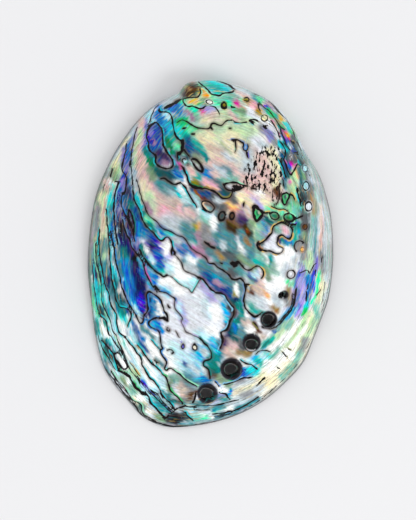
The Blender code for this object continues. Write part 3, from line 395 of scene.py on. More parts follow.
    ("seafoam", 2, 2, 241, 304, 241, 314), ("silver", 3, 3, 276, 298, 278, 306),
    ("tan", 2, 2, 288, 288, 288, 303), ("seafoam", 2.5, 2, 96, 322, 98, 332),
    ("aqua", 3, 2, 114, 324, 117, 334), ("ice", 3, 2, 114, 340, 118, 350),
    ("ice", 3, 2, 123, 348, 127, 358), ("ice", 2.5, 2, 131, 359, 135, 366),
    ("paleGreen", 2.5, 2, 131, 370, 136, 376), ("ice", 3, 2, 140, 368, 145, 377),
    ("ice", 2.5, 2, 149, 377, 154, 385), ("azure", 2, 1.5, 158, 325, 161, 331),
    ("tan", 2.5, 2, 238, 352, 246, 355), ("ash", 2, 2, 240, 343, 243, 348),
    ("grey", 2, 2, 122, 396, 127, 401), ("celadon", 2.5, 2, 175, 378, 182, 383),
    ("greyTeal", 3, 3, 185, 386, 190, 394), ("sky", 3, 3, 193, 368, 199, 375),
    ("steel", 2, 2, 203, 379, 208, 383), ("sage", 3, 2, 220, 379, 227, 383),
    ("ice", 2, 1.5, 248, 361, 253, 364), ("azure", 2.5, 2, 124, 262, 127, 272, 129, 285),
    ("ink", 2, 2, 136, 257, 138, 267), ("navy", 2.5, 2.5, 138, 272, 140, 288),
    ("white", 1.2, 1, 113, 266, 114, 270), ("white", 1.2, 1, 112, 284, 113, 288),
    ("cyan", 1.2, 1, 115, 274, 117, 280), ("navy", 1.5, 1, 107, 278, 109, 286),
    ("white", 1.2, 1, 118, 288, 120, 292), ("cyan", 1.5, 1, 96, 284, 97, 289),
    ("white", 1.2, 1, 93, 278, 94, 283), ("white", 1.2, 1, 99, 300, 101, 305),
    ("ash", 1.5, 2, 312, 185, 314, 212), ("celadon", 3, 2, 246, 280, 250, 285),
    ("azure", 2.5, 2, 149, 278, 153, 286), ("azure", 2, 2, 134, 306, 137, 313),
    ("greyTeal", 3, 3, 188, 209, 194, 217), ("silver", 2.5, 2, 188, 266, 194, 271),
    ("pine", 2, 1.5, 177, 152, 179, 159), ("ink", 1.5, 1.5, 132, 224, 134, 232),
    ("denim", 2, 2, 149, 234, 153, 240), ("silver", 2, 2, 222, 243, 224, 249),
    # the grey stroke at across 88 to 89 darkens the left outline: partly its dark edge line, partly
    # painted shade at the foot of the wall
    ("grey", 1.5, 1.5, 88, 300, 89, 322), ("silver", 2, 2, 205, 304, 206, 314),
    ("silver", 3, 2, 258, 296, 260, 304), ("sky", 2.5, 2, 213, 341, 215, 350),
    ("ash", 2, 1.5, 266, 326, 271, 328), ("greyTeal", 1.5, 1.5, 105, 360, 108, 366),
    ("sage", 2, 2, 122, 379, 126, 384), ("seafoam", 2, 2, 257, 361, 261, 365),
    ("silver", 3, 3, 256, 392, 262, 387), ("greyTeal", 2, 2, 157, 405, 163, 411),
    ("pine", 2, 1.5, 185, 415, 189, 419), ("celadon", 2, 2, 194, 415, 198, 419),
    ("ice", 3, 2, 113, 322, 117, 332), ("silver", 2, 2, 132, 170, 134, 178),
    ("steel", 2, 2, 133, 304, 134, 312), ("steel", 2.5, 2, 143, 262, 147, 272),
    ("sky", 1.5, 1.5, 149, 266, 153, 274), ("greyTeal", 3, 2, 213, 408, 223, 407),
    ("ash", 2, 2, 302, 155, 305, 160), ("pine", 2, 2, 294, 144, 297, 150),
    ("ash", 1.5, 2, 288, 154, 290, 158), ("pine", 1.5, 1.5, 287, 170, 288, 176),
    ("ice", 2.5, 2, 132, 350, 137, 358), ("silver", 2.5, 2, 245, 209, 250, 214),
    ("silver", 3, 2, 216, 169, 223, 173), ("celadon", 2, 2, 268, 268, 269, 277),
    ("lavender", 2.5, 2, 301, 280, 302, 288), ("ice", 2, 2, 147, 362, 151, 370),
    ("steel", 2, 2, 204, 379, 207, 383), ("greyTeal", 2, 2, 113, 285, 115, 293),
    ("sage", 2, 2, 104, 182, 107, 190), ("grey", 2, 2, 302, 350, 306, 340),
    ("silver", 2, 2, 260, 144, 268, 148), ("sage", 2, 2, 139, 405, 145, 411),
    ("seafoam", 2, 2, 167, 396, 171, 402), ("ink", 1.8, 1.5, 120.5, 224, 120.5, 238),
    ("white", 2, 2, 112, 324, 116, 334, 120, 342), ("white", 2.5, 2, 122, 316, 126, 328),
    ("white", 2.2, 2, 130, 345, 137, 356, 144, 372, 152, 384),
    ("white", 2, 2, 140, 352, 147, 366, 156, 380), ("white", 2, 2, 146, 342, 156, 358, 166, 372),
    ("white", 2, 2, 108, 350, 113, 358), ("white", 2.5, 2, 134, 390, 140, 398),
    ("white", 1.5, 2, 143, 408, 150, 412), ("white", 2, 2, 104, 326, 107, 336),
    ("white", 1.5, 1.5, 125, 372, 130, 384), ("white", 1.8, 1.5, 119, 355, 124, 364, 126, 367),
    ("celadon", 2, 2, 176, 144, 180, 150), ("umber", 1.5, 2, 185, 91, 188, 95),
    ("tan", 2, 2, 186, 83, 188, 86), ("tan", 1.5, 2, 258, 110, 261, 113),
    ("mauve", 2, 2, 267, 101, 270, 104), ("ash", 2, 2, 295, 136, 296, 146),
    ("greyTeal", 2, 2, 303, 153, 305, 159), ("olive", 1.5, 2, 195, 181, 197, 185),
    ("brown", 1.5, 2, 276, 190, 278, 195), ("grey", 2, 2, 321, 186, 323, 198),
    ("ash", 1.5, 2, 303, 216, 305, 222), ("steel", 2, 2, 150, 270, 153, 278),
    ("denim", 1.5, 1.5, 158, 262, 161, 267), ("sage", 2.5, 2, 267, 270, 269, 276),
    ("steel", 2, 2, 132, 305, 134, 313), ("ice", 2, 2, 114, 342, 117, 348),
    ("pine", 1.5, 2, 167, 396, 171, 402), ("sage", 2, 2, 157, 415, 163, 419),
    ("ash", 1.5, 2, 302, 196, 303, 202), ("ash", 1.5, 2, 302, 210, 304, 215),
    ("pine", 2, 2, 273, 224, 277, 230), ("ash", 1.5, 2, 231, 197, 235, 201),
    ("celadon", 2, 2, 315, 306, 318, 316), ("ice", 2, 2, 162, 307, 164, 315),
    ("tan", 1.5, 2, 273, 307, 277, 312), ("mauve", 2, 2, 231, 308, 235, 314),
    ("white", 2, 2, 245, 308, 249, 314), ("aqua", 1.5, 2, 175, 127, 179, 131),
    ("seafoam", 1.5, 2, 189, 197, 193, 202), ("greyTeal", 2, 2, 106, 306, 108, 316),
    ("slate", 1.5, 3, 206, 274, 214, 283, 224, 293), ("sky", 2, 2, 132, 307, 134, 320),
    ("coal", 1.2, 2, 294, 144, 296, 150), ("ash", 1.8, 2, 293, 154, 296, 160),
    ("pine", 2, 2, 231, 306, 233, 314), ("white", 2, 1.5, 122, 350, 125, 356),
    ("greyTeal", 1.5, 1.5, 113, 352, 116, 358), ("seafoam", 2, 2, 104, 350, 108, 358),
    ("celadon", 2, 2, 194, 197, 198, 204), ("silver", 1.5, 2, 217, 198, 221, 201),
    ("white", 1.5, 1.5, 163, 306, 165, 316), ("celadon", 1.5, 2, 272, 356, 279, 349),
    ("blush", 2, 2, 189, 169, 193, 174), ("silver", 1.5, 2, 106, 293, 108, 301),
    ("ash", 1.5, 2, 301, 194, 304, 203), ("sky", 1.5, 1.5, 148, 264, 151, 273),
    ("grey", 2, 2, 302, 250, 304, 259), ("pine", 1.5, 2, 259, 238, 262, 244),
    ("navy", 1.2, 1.5, 148, 294, 149, 300), ("azure", 1.5, 2, 287, 239, 291, 243),
    ("haze", 2, 2, 149, 118, 152, 130), ("celadon", 2, 2, 259, 224, 262, 230),
    ("grey", 1.5, 2, 161, 393, 165, 397), ("pine", 1.5, 2, 139, 404, 143, 408),
    ("celadon", 1.5, 2, 131, 387, 135, 393), ("brown", 4, 2, 184, 92, 190, 86, 196, 88),
    ("umber", 1.5, 1.5, 183, 94, 188, 90, 192, 92), ("umber", 1.2, 1.2, 188, 83, 197, 86),
    ("tan", 0.8, 1, 186, 87, 190, 89), ("haze", 1.5, 2, 123, 180, 125, 187),
    ("greyTeal", 2, 2, 105, 242, 107, 250), ("sky", 1.5, 1.5, 141, 259, 144, 267),
    ("ash", 1.5, 2, 230, 271, 234, 275), ("ice", 2, 2, 177, 305, 179, 313),
    ("ice", 1.5, 2, 159, 341, 161, 349), ("grey", 1.5, 2, 238, 382, 244, 380),
    ("celadon", 1.5, 2, 203, 208, 207, 212), ("beige", 2, 2, 265, 190, 270, 194),
    ("sage", 2, 2, 293, 198, 297, 204), ("tan", 1.5, 2, 312, 206, 314, 214),
    ("pine", 1.5, 2, 302, 162, 305, 168), ("pine", 1.2, 2, 304, 153, 306, 159),
    ("ash", 1.5, 2, 294, 135, 296, 141), ("grey", 1.5, 2, 105, 170, 107, 178),
    ("ice", 2.5, 2, 134, 314, 137, 322), ("sky", 2, 2, 131, 304, 134, 311),
    ("haze", 2, 2, 174, 238, 180, 246), ("white", 2.2, 2, 121, 350, 126, 357),
    ("ice", 2, 2, 190, 196, 196, 204), ("coal", 1.5, 2, 231, 307, 233, 313),
    ("ash", 1.5, 2, 302, 154, 304, 160), ("ice", 1.5, 1.5, 162, 306, 164, 316),
    ("grey", 2, 2, 244, 396, 251, 393), ("blush", 2, 2, 188, 211, 194, 216),
    ("denim", 2, 2, 159, 252, 162, 258), ("sage", 1.5, 2, 203, 99, 207, 103),
    ("silver", 2, 2, 245, 295, 250, 299), ("silver", 1.5, 2, 174, 407, 180, 410),
    ("haze", 2, 2, 148, 125, 150, 134), ("celadon", 2, 2, 203, 211, 207, 217),
    ("celadon", 1.5, 2, 287, 327, 292, 322), ("brown", 1, 2, 175, 101, 179, 99),
    ("ice", 2, 2, 119, 322, 123, 329), ("silver", 2, 2, 190, 366, 198, 373),
    ("dusk", 1.5, 2, 119, 222, 122, 232), ("sky", 1.5, 2, 168, 126, 170, 132),
    ("mint", 1.5, 2, 185, 127, 190, 131), ("mint", 1.2, 2, 176, 145, 180, 149),
    ("coal", 1.2, 2, 294, 135, 296, 141), ("sage", 2, 2, 113, 170, 116, 179),
    ("sage", 2, 2, 294, 189, 297, 195), ("coal", 1, 2, 303, 162, 305, 168),
    ("grey", 2, 2, 320, 188, 323, 196), ("brown", 1.5, 2, 204, 199, 207, 203),
    ("celadon", 1.5, 2, 276, 226, 279, 231), ("grey", 2, 2, 321, 258, 323, 270),
    # the grey stroke at across 89 darkens the left outline: partly its dark edge line, partly
    # painted shade at the foot of the wall
    ("grey", 2, 3, 330, 250, 331, 270), ("grey", 2, 2, 89, 285, 89, 330),
    ("pine", 1.5, 2, 114, 278, 116, 286), ("teal", 1.5, 2, 240, 306, 242, 312),
    ("teal", 1.2, 2, 96, 322, 98, 332), ("ice", 1.5, 2, 114, 341, 117, 349),
    ("ice", 1.5, 2, 113, 322, 117, 332), ("ice", 1.2, 2, 159, 341, 161, 349),
    ("grey", 2, 2, 113, 386, 117, 394), ("grey", 2, 2, 122, 396, 127, 402),
    ("greyTeal", 2, 2, 180, 426, 194, 426), ("ink", 1.5, 1.5, 120.5, 226, 120.5, 240),
    ("white", 2, 2, 103, 320, 106, 332), ("white", 1.5, 1.5, 124, 334, 129, 342),
    ("cyan", 1.2, 1.2, 95, 281, 96, 290), ("cyan", 1.2, 1.5, 98, 296, 100, 306),
    ("cyan", 1, 1.5, 112, 268, 115, 278), ("pine", 1.5, 1.5, 112, 276, 116, 292),
    ("coal", 1.2, 1.5, 100, 306, 103, 316), ("navy", 1.2, 1.2, 94, 264, 95, 276),
    ("coal", 1.5, 1.5, 104, 344, 110, 354, 114, 360),
    ("slate", 1.5, 1.5, 135, 330, 142, 342, 148, 352),
    ("white", 1.2, 1.2, 139, 330, 147, 344, 152, 352), ("grey", 2, 2, 181, 383, 190, 392, 188, 400),
    ("beige", 2, 2, 180, 386, 184, 394), ("brown", 1.5, 2, 190, 398, 194, 392),
    # the coal stroke at across 168 to 182, down 417 to 418, adds painted shade in the youngest hole
    ("coal", 3, 2, 168, 418, 182, 417), ("aqua", 1.5, 2, 122, 314, 124, 322),
    ("white", 2, 2, 134, 314, 137, 324), ("white", 1.5, 2, 160, 304, 163, 314),
    ("steel", 0.8, 1.2, 140, 331, 145, 341), ("greyTeal", 1.5, 2, 157, 360, 163, 366),
    ("pine", 2, 2, 230, 333, 234, 339), ("silver", 2, 2, 174, 238, 180, 244),
    ("teal", 1.5, 2, 119, 306, 123, 312), ("ice", 2, 2, 202, 209, 208, 216),
    ("celadon", 2, 2, 229, 109, 236, 117), ("celadon", 2, 2, 202, 82, 208, 86),
    ("celadon", 2, 2, 273, 265, 277, 274), ("lavender", 2, 2, 301, 293, 304, 301),
    ("haze", 1.5, 2, 294, 296, 296, 304), ("navy", 1, 2, 147, 307, 149, 314),
    ("sky", 1.2, 1.5, 147, 277, 152, 287), ("indigo", 1.5, 2, 119, 237, 122, 245),
    ("silver", 2, 2, 245, 280, 249, 287), ("ice", 1.5, 2, 106, 293, 108, 301),
    ("ice", 1.5, 2, 188, 407, 194, 411), ("silver", 1.5, 2, 134, 181, 136, 190),
    ("blush", 1.5, 2, 106, 181, 108, 190), ("ice", 2, 2, 258, 350, 264, 356),
    ("haze", 2, 2, 123, 151, 125, 168), ("paleGreen", 2, 2, 293, 188, 297, 196),
    ("celadon", 1.5, 2, 258, 234, 261, 240), ("celadon", 2, 2, 292, 207, 298, 213),
    ("sage", 1.5, 2, 303, 232, 305, 238), ("tan", 1.5, 2, 312, 197, 314, 205),
    ("coal", 1.2, 1.5, 302, 196, 304, 203), ("ice", 2, 2, 133, 334, 135, 340),
    ("ice", 1.5, 1.5, 134, 306, 137, 314), ("ice", 2, 1.5, 148, 112, 151, 121),
    ("blush", 2, 2, 212, 172, 217, 177), ("ash", 1.5, 2, 302, 240, 305, 248),
    ("greyTeal", 1.5, 2, 221, 398, 226, 400), ("white", 1.5, 1.5, 121, 352, 125, 358),
    ("grey", 1.5, 2, 285, 298, 287, 303), ("denim", 1.5, 2, 141, 270, 144, 277),
    ("beige", 2, 2, 257, 288, 261, 294), ("denim", 1.2, 1, 133, 320, 138, 332),
    ("white", 2, 1.2, 119, 320, 123, 330), ("beige", 2, 1.2, 244, 209, 250, 216),
    ("aqua", 1, 1, 119, 350, 123, 356), ("dusk", 1.5, 1.2, 134, 264, 136, 274),
    ("greyTeal", 1.5, 1.2, 120, 264, 122, 275), ("ash", 1.2, 1.2, 287, 168, 290, 174),
    ("tan", 1.2, 1.2, 245, 238, 249, 244), ("olive", 1, 1.2, 245, 99, 249, 103),
    ("blush", 2, 1.5, 230, 112, 236, 119), ("silver", 2, 1.5, 216, 295, 222, 300),
    ("mauve", 1.5, 1.5, 216, 281, 222, 286), ("teal", 1.2, 1, 105, 321, 108, 330),
    ("ink", 1, 1, 148, 293, 149, 301), ("mauve", 1.5, 1.5, 188, 112, 194, 118),
    ("teal", 1.5, 1.5, 203, 154, 207, 160), ("haze", 1.5, 1.5, 301, 265, 304, 273),
    ("silver", 1.5, 1.5, 203, 350, 207, 357), ("tan", 1.5, 1.5, 216, 252, 222, 258),
    ("white", 2, 1.5, 286, 350, 292, 356), ("coal", 1.5, 1.2, 302, 195, 304, 204),
    ("ice", 2, 1, 119, 349, 123, 356), ("sage", 2, 2, 267, 270, 269, 276),
    ("greyTeal", 1.5, 2, 104, 368, 108, 376),
]

# Dark films between the layers: width, bright fringe, the side it lies on, the path's places.
films = [
    (3.2, "", "right", 180, 100.5, 176, 102, 171.5, 105, 165.5, 107.5),
    (1.9, "cyan", "left", 159.5, 109, 159, 111, 161, 112.5, 165.5, 111.5, 171, 113.5, 172.4, 120,
        172.8, 124.5, 174, 129, 175, 134, 177, 137.7, 180, 140.2, 182.8, 140, 183, 146,
        182.4, 151.5, 177.3, 154.5, 178.5, 159.5, 181.4, 164.5, 185, 171, 186.6, 175, 187.7, 180,
        190, 184.5, 192.4, 187, 196.6, 188, 201.6, 188.8),
    (1.8, "olive", "left", 201.6, 188.8, 204.5, 187.7, 209.5, 189.5, 213.8, 191, 217.4, 193.8,
        221, 197.4, 223.8, 198.8, 228, 198.4, 231, 196.6, 232.4, 193, 233, 190),
    (3.6, "", "left", 182.5, 141, 182.5, 147, 182, 151.5, 178.5, 154),
    (3.2, "emerald", "left", 190.5, 185, 194, 187.3, 202, 188.4),
    (1.9, "mint", "left", 223.8, 184.5, 228, 182.7, 233.8, 182.4, 238, 183, 241.6, 185, 246.6, 186),
    (2.2, "", "right", 223.8, 184.5, 225, 188, 228.8, 190.6, 233.8, 190, 239.5, 189.5, 243, 187.4),
    (3.6, "violet", "right", 235, 186.5, 240, 187),
    (1.3, "", "right", 168, 96, 163, 98, 160, 101, 158.5, 104.5, 155, 108, 153, 112.4, 151, 116.6,
        150, 121.6, 147.5, 125),
    (2.0, "cyan", "right", 155.6, 122.4, 152, 124, 149.6, 126.6, 147.4, 131, 146.4, 136, 147.8, 141,
        149, 144, 148, 147.4, 150, 151, 154, 154, 156, 156, 155.6, 160, 155.6, 163.4, 159, 166.6,
        163, 168, 168, 169, 172, 167.4, 174, 164, 172, 159.5, 168.5, 154, 165, 149.5, 163, 144.5,
        162.8, 139, 162.8, 133, 161.7, 129.5, 159, 125, 157, 122.7, 155.6, 122.4),
    (1.7, "green", "right", 178, 122, 180, 120, 184, 120, 187.4, 122.4, 191, 124, 194.5, 127,
        198, 128),
    (1.7, "", "right", 198, 128, 203, 128.4, 208, 129, 210, 127.4, 211, 124, 214.5, 123, 218, 125,
        221.6, 125.6, 224.5, 122.4),
    (1.7, "cyan", "right", 224.5, 122.4, 227.4, 120.2, 231.6, 120.2),
    (1.4, "cyan", "right", 234, 122, 240, 123, 246, 122.4),
    (1.7, "", "right", 250, 120, 252.4, 119, 256.6, 120, 259.5, 123, 263, 125, 269, 124),
    (2.6, "cyan", "right", 251, 122, 252.5, 123), (3.0, "", "right", 263, 126, 265.5, 127.5),
    (1.7, "mint", "left", 200, 89, 201, 92.4, 199.5, 95, 197.4, 98, 192.4, 97.4, 187.4, 97.7,
        182.7, 98.8, 183, 102.4, 186, 106, 189.5, 106.6, 194.5, 106, 198, 108.4, 201.6, 109,
        204.5, 106.6, 208, 105, 212.4, 105.6, 216, 107.7, 218.4, 111, 219.5, 114.5),
    (1.8, "mint", "right", 198, 81.6, 201.6, 84.5, 205, 87.4, 208.8, 91, 211, 94, 215, 95,
        219.5, 96, 222.4, 93.8, 226, 92.7, 231.6, 92.7, 233.8, 91.6),
    (2.6, "", "right", 234, 89, 231, 86, 226, 83.4, 221, 81.6, 216.6, 81),
    (2.6, "", "right", 231, 107, 234, 107.3),
    (1.2, "", "right", 244.5, 98, 247, 96.6, 249.3, 98.6, 248.5, 101.3, 245.5, 101),
    (1.4, "gold", "left", 258, 104, 258.4, 108, 260.4, 111.6, 264, 113),
    (2.4, "", "right", 183.6, 128.6, 185.4, 128), (2.0, "", "right", 192, 134, 194, 134),
    (1.6, "", "right", 229.4, 128, 231, 128.4), (1.6, "", "right", 211, 128.2, 212, 128.8),
    (1.7, "azure", "left", 232.4, 140, 236.6, 139.5, 241, 141.6, 244.5, 143.8, 242.7, 147.4,
        243.8, 150, 246.3, 151, 248, 148, 247.7, 144.5),
    (1.3, "mint", "right", 235, 141, 236, 146, 236, 149.5, 235, 152),
    (1.8, "violet", "left", 246.6, 153, 248, 157.4),
    (2.3, "", "right", 190.5, 160, 194, 158.5, 198, 160.5, 201.5, 166, 203, 171, 200, 172, 196, 168,
        192, 163, 190.5, 160),
    (1.8, "", "right", 184, 150, 186, 152.4, 188.8, 156),
    (1.6, "cyan", "right", 179.5, 182.5, 184, 185, 187.4, 191, 190, 196.6, 194, 202.4, 197, 207.4),
    (2.0, "", "left", 161, 178.5, 165, 178, 168, 181, 172, 184, 176, 184.5, 180, 182.5),
    (1.8, "peach", "right", 201.6, 203, 203, 201, 206.6, 201, 210, 202.4, 214.5, 206.6, 213.8, 210,
        210, 212.4, 206, 210, 202.4, 206.6, 201.6, 203),
    (1.2, "cyan", "right", 203, 209.5, 206.6, 211.6),
    (1.8, "violet", "right", 244, 203, 243.6, 206), (1.3, "", "right", 251, 188, 256, 189),
    (3.0, "green", "right", 253, 206.6, 255, 206, 259.5, 209.5, 263.4, 213, 261.6, 216,
        258.8, 219.5, 256.6, 221.6, 254.5, 218, 253.8, 212.4, 253, 206.6),
    (1.9, "gold", "left", 263.8, 213, 268, 212.7, 271.6, 213),
    (1.7, "mint", "left", 269.4, 214, 272, 212, 276, 212.4, 279.6, 216, 277.6, 219.6, 273.6, 220,
        270, 217, 269.4, 214),
    (1.8, "mint", "left", 283.6, 216, 286, 213.4, 291, 213.6, 295, 217.6, 292.6, 221.6, 288, 222,
        284.4, 219.6, 283.6, 216),
    (2.0, "", "right", 295, 219, 299.5, 217.4, 302.4, 216),
    (1.6, "violet", "left", 286, 221.6, 290, 224.5, 295, 225, 298.8, 223),
    (1.1, "gold", "right", 271.6, 206.6, 276, 208.4, 279.5, 209.5, 284, 208.8, 288, 211),
    (2.0, "green", "right", 282.4, 194.5, 286, 192.4, 290, 194.5, 288, 200, 284.5, 206.6,
        281.6, 200, 282.4, 194.5),
    (1.6, "gold", "left", 288, 193.5, 293, 195, 294.5, 199.5),
    (1.8, "gold", "left", 272, 232.4, 272.4, 228, 276, 224.5, 281, 222, 284.5, 223, 288, 226,
        292, 227.4, 292.4, 231, 291.6, 236.6, 290, 239.5, 287.4, 239, 283.8, 236, 281, 235,
        278.4, 236.6, 278, 240, 276.6, 243, 278, 245.6, 282, 247, 283.8, 249.5, 281.6, 253,
        276.6, 254, 273.8, 252.4, 269.5, 250.6, 263.8, 251, 258.8, 249.5, 257, 246, 259.5, 243.8,
        264.5, 241, 268.8, 236.6, 272, 232.4),
    (3.0, "rust", "left", 258, 243.5, 257.6, 247, 260.5, 250),
    (1.3, "", "right", 137.8, 126.6, 135, 133, 133.5, 141.6, 132, 149, 131.4, 156, 130.6, 161.6,
        131.4, 169, 132, 176, 132.8, 186.6),
    (1.8, "cyan", "left", 132.8, 186.6, 133.5, 194, 134.2, 200, 136.7, 205, 139.6, 209, 140.6, 214,
        142.8, 220, 145.6, 225, 149.2, 229, 152.8, 232.4, 156.4, 236, 159.2, 240, 162, 241,
        164.2, 239, 166.7, 236.6, 169.2, 237.4, 171.4, 241, 172.8, 246, 172, 249, 170.3, 251,
        171.4, 254),
    (1.1, "", "right", 171.4, 254, 175, 255, 177.8, 258, 181.4, 262.4, 182.4, 266.6, 184.5, 271,
        190, 273.4, 195, 275, 198, 277.4),
    (2.1, "sky", "right", 198, 277.4, 202.4, 279, 205, 282.4, 208.8, 286.6, 212.4, 291, 216.6, 293,
        221.6, 293, 225, 295, 227.4, 299.5, 230, 304, 233.8, 307.4, 233.8, 313, 232.4, 317.4,
        229.5, 321.6, 228, 326.6, 226, 330, 221, 331.6, 221.6, 336, 223, 340, 221.6, 345, 220, 348),
    (1.6, "blue", "right", 170.5, 251.5, 173, 250, 176, 253, 173.5, 254.4),
    (1.8, "", "right", 132.4, 147, 132, 150), (2.0, "", "right", 130.4, 161, 130, 165),
    (1.1, "", "right", 136.4, 179.5, 138.5, 186.6, 140, 192.4, 142, 200, 145, 206, 146.4, 211.6,
        149, 216.6, 155, 220, 159, 224.5, 163.5, 229.5, 169, 230.6, 173.5, 233, 178.5, 236,
        183.5, 237, 186.6, 241, 188.8, 245, 192.4, 249.5, 197.4, 252.4, 201.6, 254.5, 206, 258,
        208, 262.4),
    (2.0, "steel", "right", 208, 262.4, 211, 264, 214.5, 264, 217.4, 267, 221, 269.5, 225, 271.6,
        228.8, 275, 232.4, 279.5, 236.6, 279.5, 240, 278, 243, 280, 245, 284.5, 246, 289.5,
        244.5, 294.5, 243.8, 299, 244, 304.5, 246, 309, 249.5, 313, 255, 317.4, 258.8, 315,
        262.4, 313),
    (1.6, "", "right", 127.8, 134.5, 126.4, 145, 125, 153, 123, 161.6, 121.7, 168, 122.8, 173,
        125.6, 174.5, 126.4, 177.4, 126.4, 186, 125, 191.6, 124, 193.4, 122.8, 193),
    (1.3, "azure", "left", 122.5, 194, 121.4, 198, 121.4, 204.5, 122.4, 209.5, 123.5, 211,
        126.4, 216.6, 129.2, 223.8, 132, 229.5, 133.5, 234.5, 135, 241),
    (1.9, "sky", "left", 118.5, 183, 115.6, 190, 114.6, 197.4, 114, 204.5, 113.5, 210, 114.2, 216.6,
        114.6, 223.8, 115.3, 231, 116.7, 236.6, 117.8, 244.5),
    (1.6, "steel", "left", 122.4, 219.5, 123.5, 225, 125.6, 232.4, 127.8, 236.6, 130, 240, 131, 245,
        132.8, 249, 136.4, 253, 140, 257.4, 142.8, 262.4),
    (1.4, "magenta", "left", 142.8, 262.4, 144, 268, 146, 274, 149, 280, 152.6, 286.5, 157, 292),
    (2.4, "", "left", 154.5, 286, 158, 289.5),
    (1.3, "azure", "left", 159, 291.6, 162.8, 291.6, 167, 293, 170.6, 296, 175.6, 298.4,
        175, 301.6),
    (0.9, "lavender", "left", 175, 301.6, 174.2, 305, 175.6, 309.5, 179, 314, 183.5, 317.4,
        181, 321, 183.8, 327.4, 186, 332.4, 190, 333.8, 195, 336, 199.5, 338),
    (1.7, "teal", "left", 199.5, 338, 203.8, 342.4, 208, 346.6, 211, 351, 212, 355, 210.6, 359.5,
        204.5, 361, 202.8, 363, 203.4, 366, 206.5, 367.5, 209, 369.4, 209.5, 374, 210, 378),
    (1.6, "teal", "right", 128.2, 211.5, 128.6, 217, 130, 222.4, 132, 228, 133.8, 233.5, 134.6, 229,
        134.4, 224.5, 132.8, 219.5, 131.4, 213, 129, 210),
    (1.8, "teal", "left", 140, 250, 141, 253, 144, 258, 149, 265, 156, 272, 160.6, 274.5,
        164, 277.4, 167, 275),
    (0.9, "aqua", "left", 167, 275, 171, 276, 175, 280, 179.5, 284, 184, 286.6, 188, 288,
        191, 291.6, 192, 293, 194, 289.5, 196.6, 285, 199, 281),
    (1.6, "cyan", "left", 106.4, 209.5, 107, 222, 108.5, 233, 109, 244, 109.6, 252, 110.3, 265,
        111, 272.4, 112, 281.6, 114, 287.4, 115, 293, 115.6, 299, 117.8, 304.5, 120.6, 307.4,
        126.4, 308, 129, 309.5, 131, 313, 131.4, 317.4, 129, 321.6, 127.8, 326),
    (1.6, "azure", "left", 110.6, 231, 112, 240, 114.2, 248, 115, 258, 117, 267.4, 119.6, 274.5,
        120.6, 283, 122.8, 290, 125.6, 297.4, 127.8, 302.4, 130.6, 306.6, 133.5, 311, 136.4, 316),
    (1.7, "azure", "right", 136.4, 316, 138.5, 321, 140.6, 324, 142.8, 322.4, 144.2, 318,
        143.5, 314.5, 146.4, 313.4, 147.8, 310, 148, 305, 147, 299.5, 146.4, 295, 147.8, 291.6,
        150.6, 291.6, 154.2, 294.5, 159, 298, 161.4, 301.6, 162.8, 306.6, 164, 311, 166.7, 314,
        168, 318),
    (2.8, "", "right", 158, 318.5, 162, 318, 167, 320),
    (1.8, "azure", "right", 159, 317.4, 155, 318, 151.4, 319.5, 148, 322.4, 148.5, 325,
        151.4, 327.7, 155.6, 329, 159, 331),
    (1.6, "azure", "left", 159, 331, 160.3, 336, 160.6, 341, 161.4, 346, 163, 348.6, 160, 350,
        161, 354, 164, 358, 166.7, 361.6, 166.6, 365, 164, 368),
    (1.5, "mint", "left", 164, 368, 166.6, 371, 169.5, 368, 172.4, 369, 176.6, 372.4, 181.6, 375,
        184.5, 379, 189.5, 382.4, 194.5, 385, 198.8, 387.4),
    (2.0, "", "left", 196, 393, 194.5, 399.5, 192.4, 402.7),
    (1.6, "cyan", "right", 99.6, 229.5, 99, 240, 99, 251, 100.3, 259.5, 101.7, 269, 103, 274.5,
        104.2, 281.6, 105.6, 287.4, 108.5, 291, 109.2, 296.6, 110, 303, 112.8, 309, 116.4, 314,
        117, 317.4, 116.7, 323, 117.8, 329, 120.6, 334.5, 125, 336.6),
    (1.6, "cyan", "left", 125, 336.6, 127, 340, 130.6, 344.5, 134.2, 348, 136.4, 352.4, 140, 356,
        141.7, 360, 141.4, 364.5, 144.2, 368.5, 146.6, 373, 150, 379, 154.5, 381, 157.4, 386,
        160, 390, 161.6, 395, 166, 399.5, 171, 403, 173.8, 409.5),
    (1.2, "mint", "right", 95.3, 244, 95.6, 254.5, 96.4, 264, 98.5, 271, 99.6, 274.5, 100.6, 281.6,
        101.4, 289, 101.7, 296, 102, 303, 104.2, 308, 107, 314, 110, 319, 111, 324.5, 112.8, 331,
        116.4, 336, 117.8, 341, 120.6, 346, 124, 353, 126.6, 360, 128, 366.6, 131, 371, 134.5, 375,
        138, 379.5, 140, 384),
    (1.4, "cyan", "left", 92.8, 265, 93.5, 274.5, 93, 281.6, 94, 289, 95.6, 294.5, 96, 300,
        97, 306.6, 99, 312.4, 100.6, 316.6, 103.5, 317.7, 105.6, 320, 107, 324.5, 107.4, 329.5,
        109, 334.5, 111.4, 336, 112.8, 339, 115, 343, 118.5, 348, 121.4, 352.4, 124.2, 356.6,
        126.4, 359.5),
    (1.8, "cyan", "right", 101.4, 340, 107, 346, 112, 352, 114, 354.5, 116, 362.4, 118, 368,
        119, 371),
    (3.0, "green", "left", 119, 371, 124, 373, 128, 375, 130, 378, 133, 383, 136, 388, 139.5, 390,
        141.6, 394),
    (4.4, "", "left", 142, 393.4, 145.6, 394.6),
    (2.2, "cyan", "left", 145, 394.5, 148.8, 396, 149.5, 401, 151, 404, 155, 406.6, 158.8, 411.6,
        163.8, 416.6),
    (1.6, "", "left", 114.2, 354, 117.8, 352.4, 120.6, 355, 124, 360, 127.8, 366.6, 126.4, 369,
        122.8, 369, 120, 364.5, 115.6, 359, 114.2, 354),
    (1.4, "cyan", "left", 138, 345, 142.4, 351, 146.6, 357.4, 151, 363, 156, 366.6, 159.5, 370,
        162.4, 374.5),
    (1.6, "green", "left", 162.4, 374.5, 166, 376.6, 167.4, 381, 168.8, 386, 170, 390, 173.8, 394,
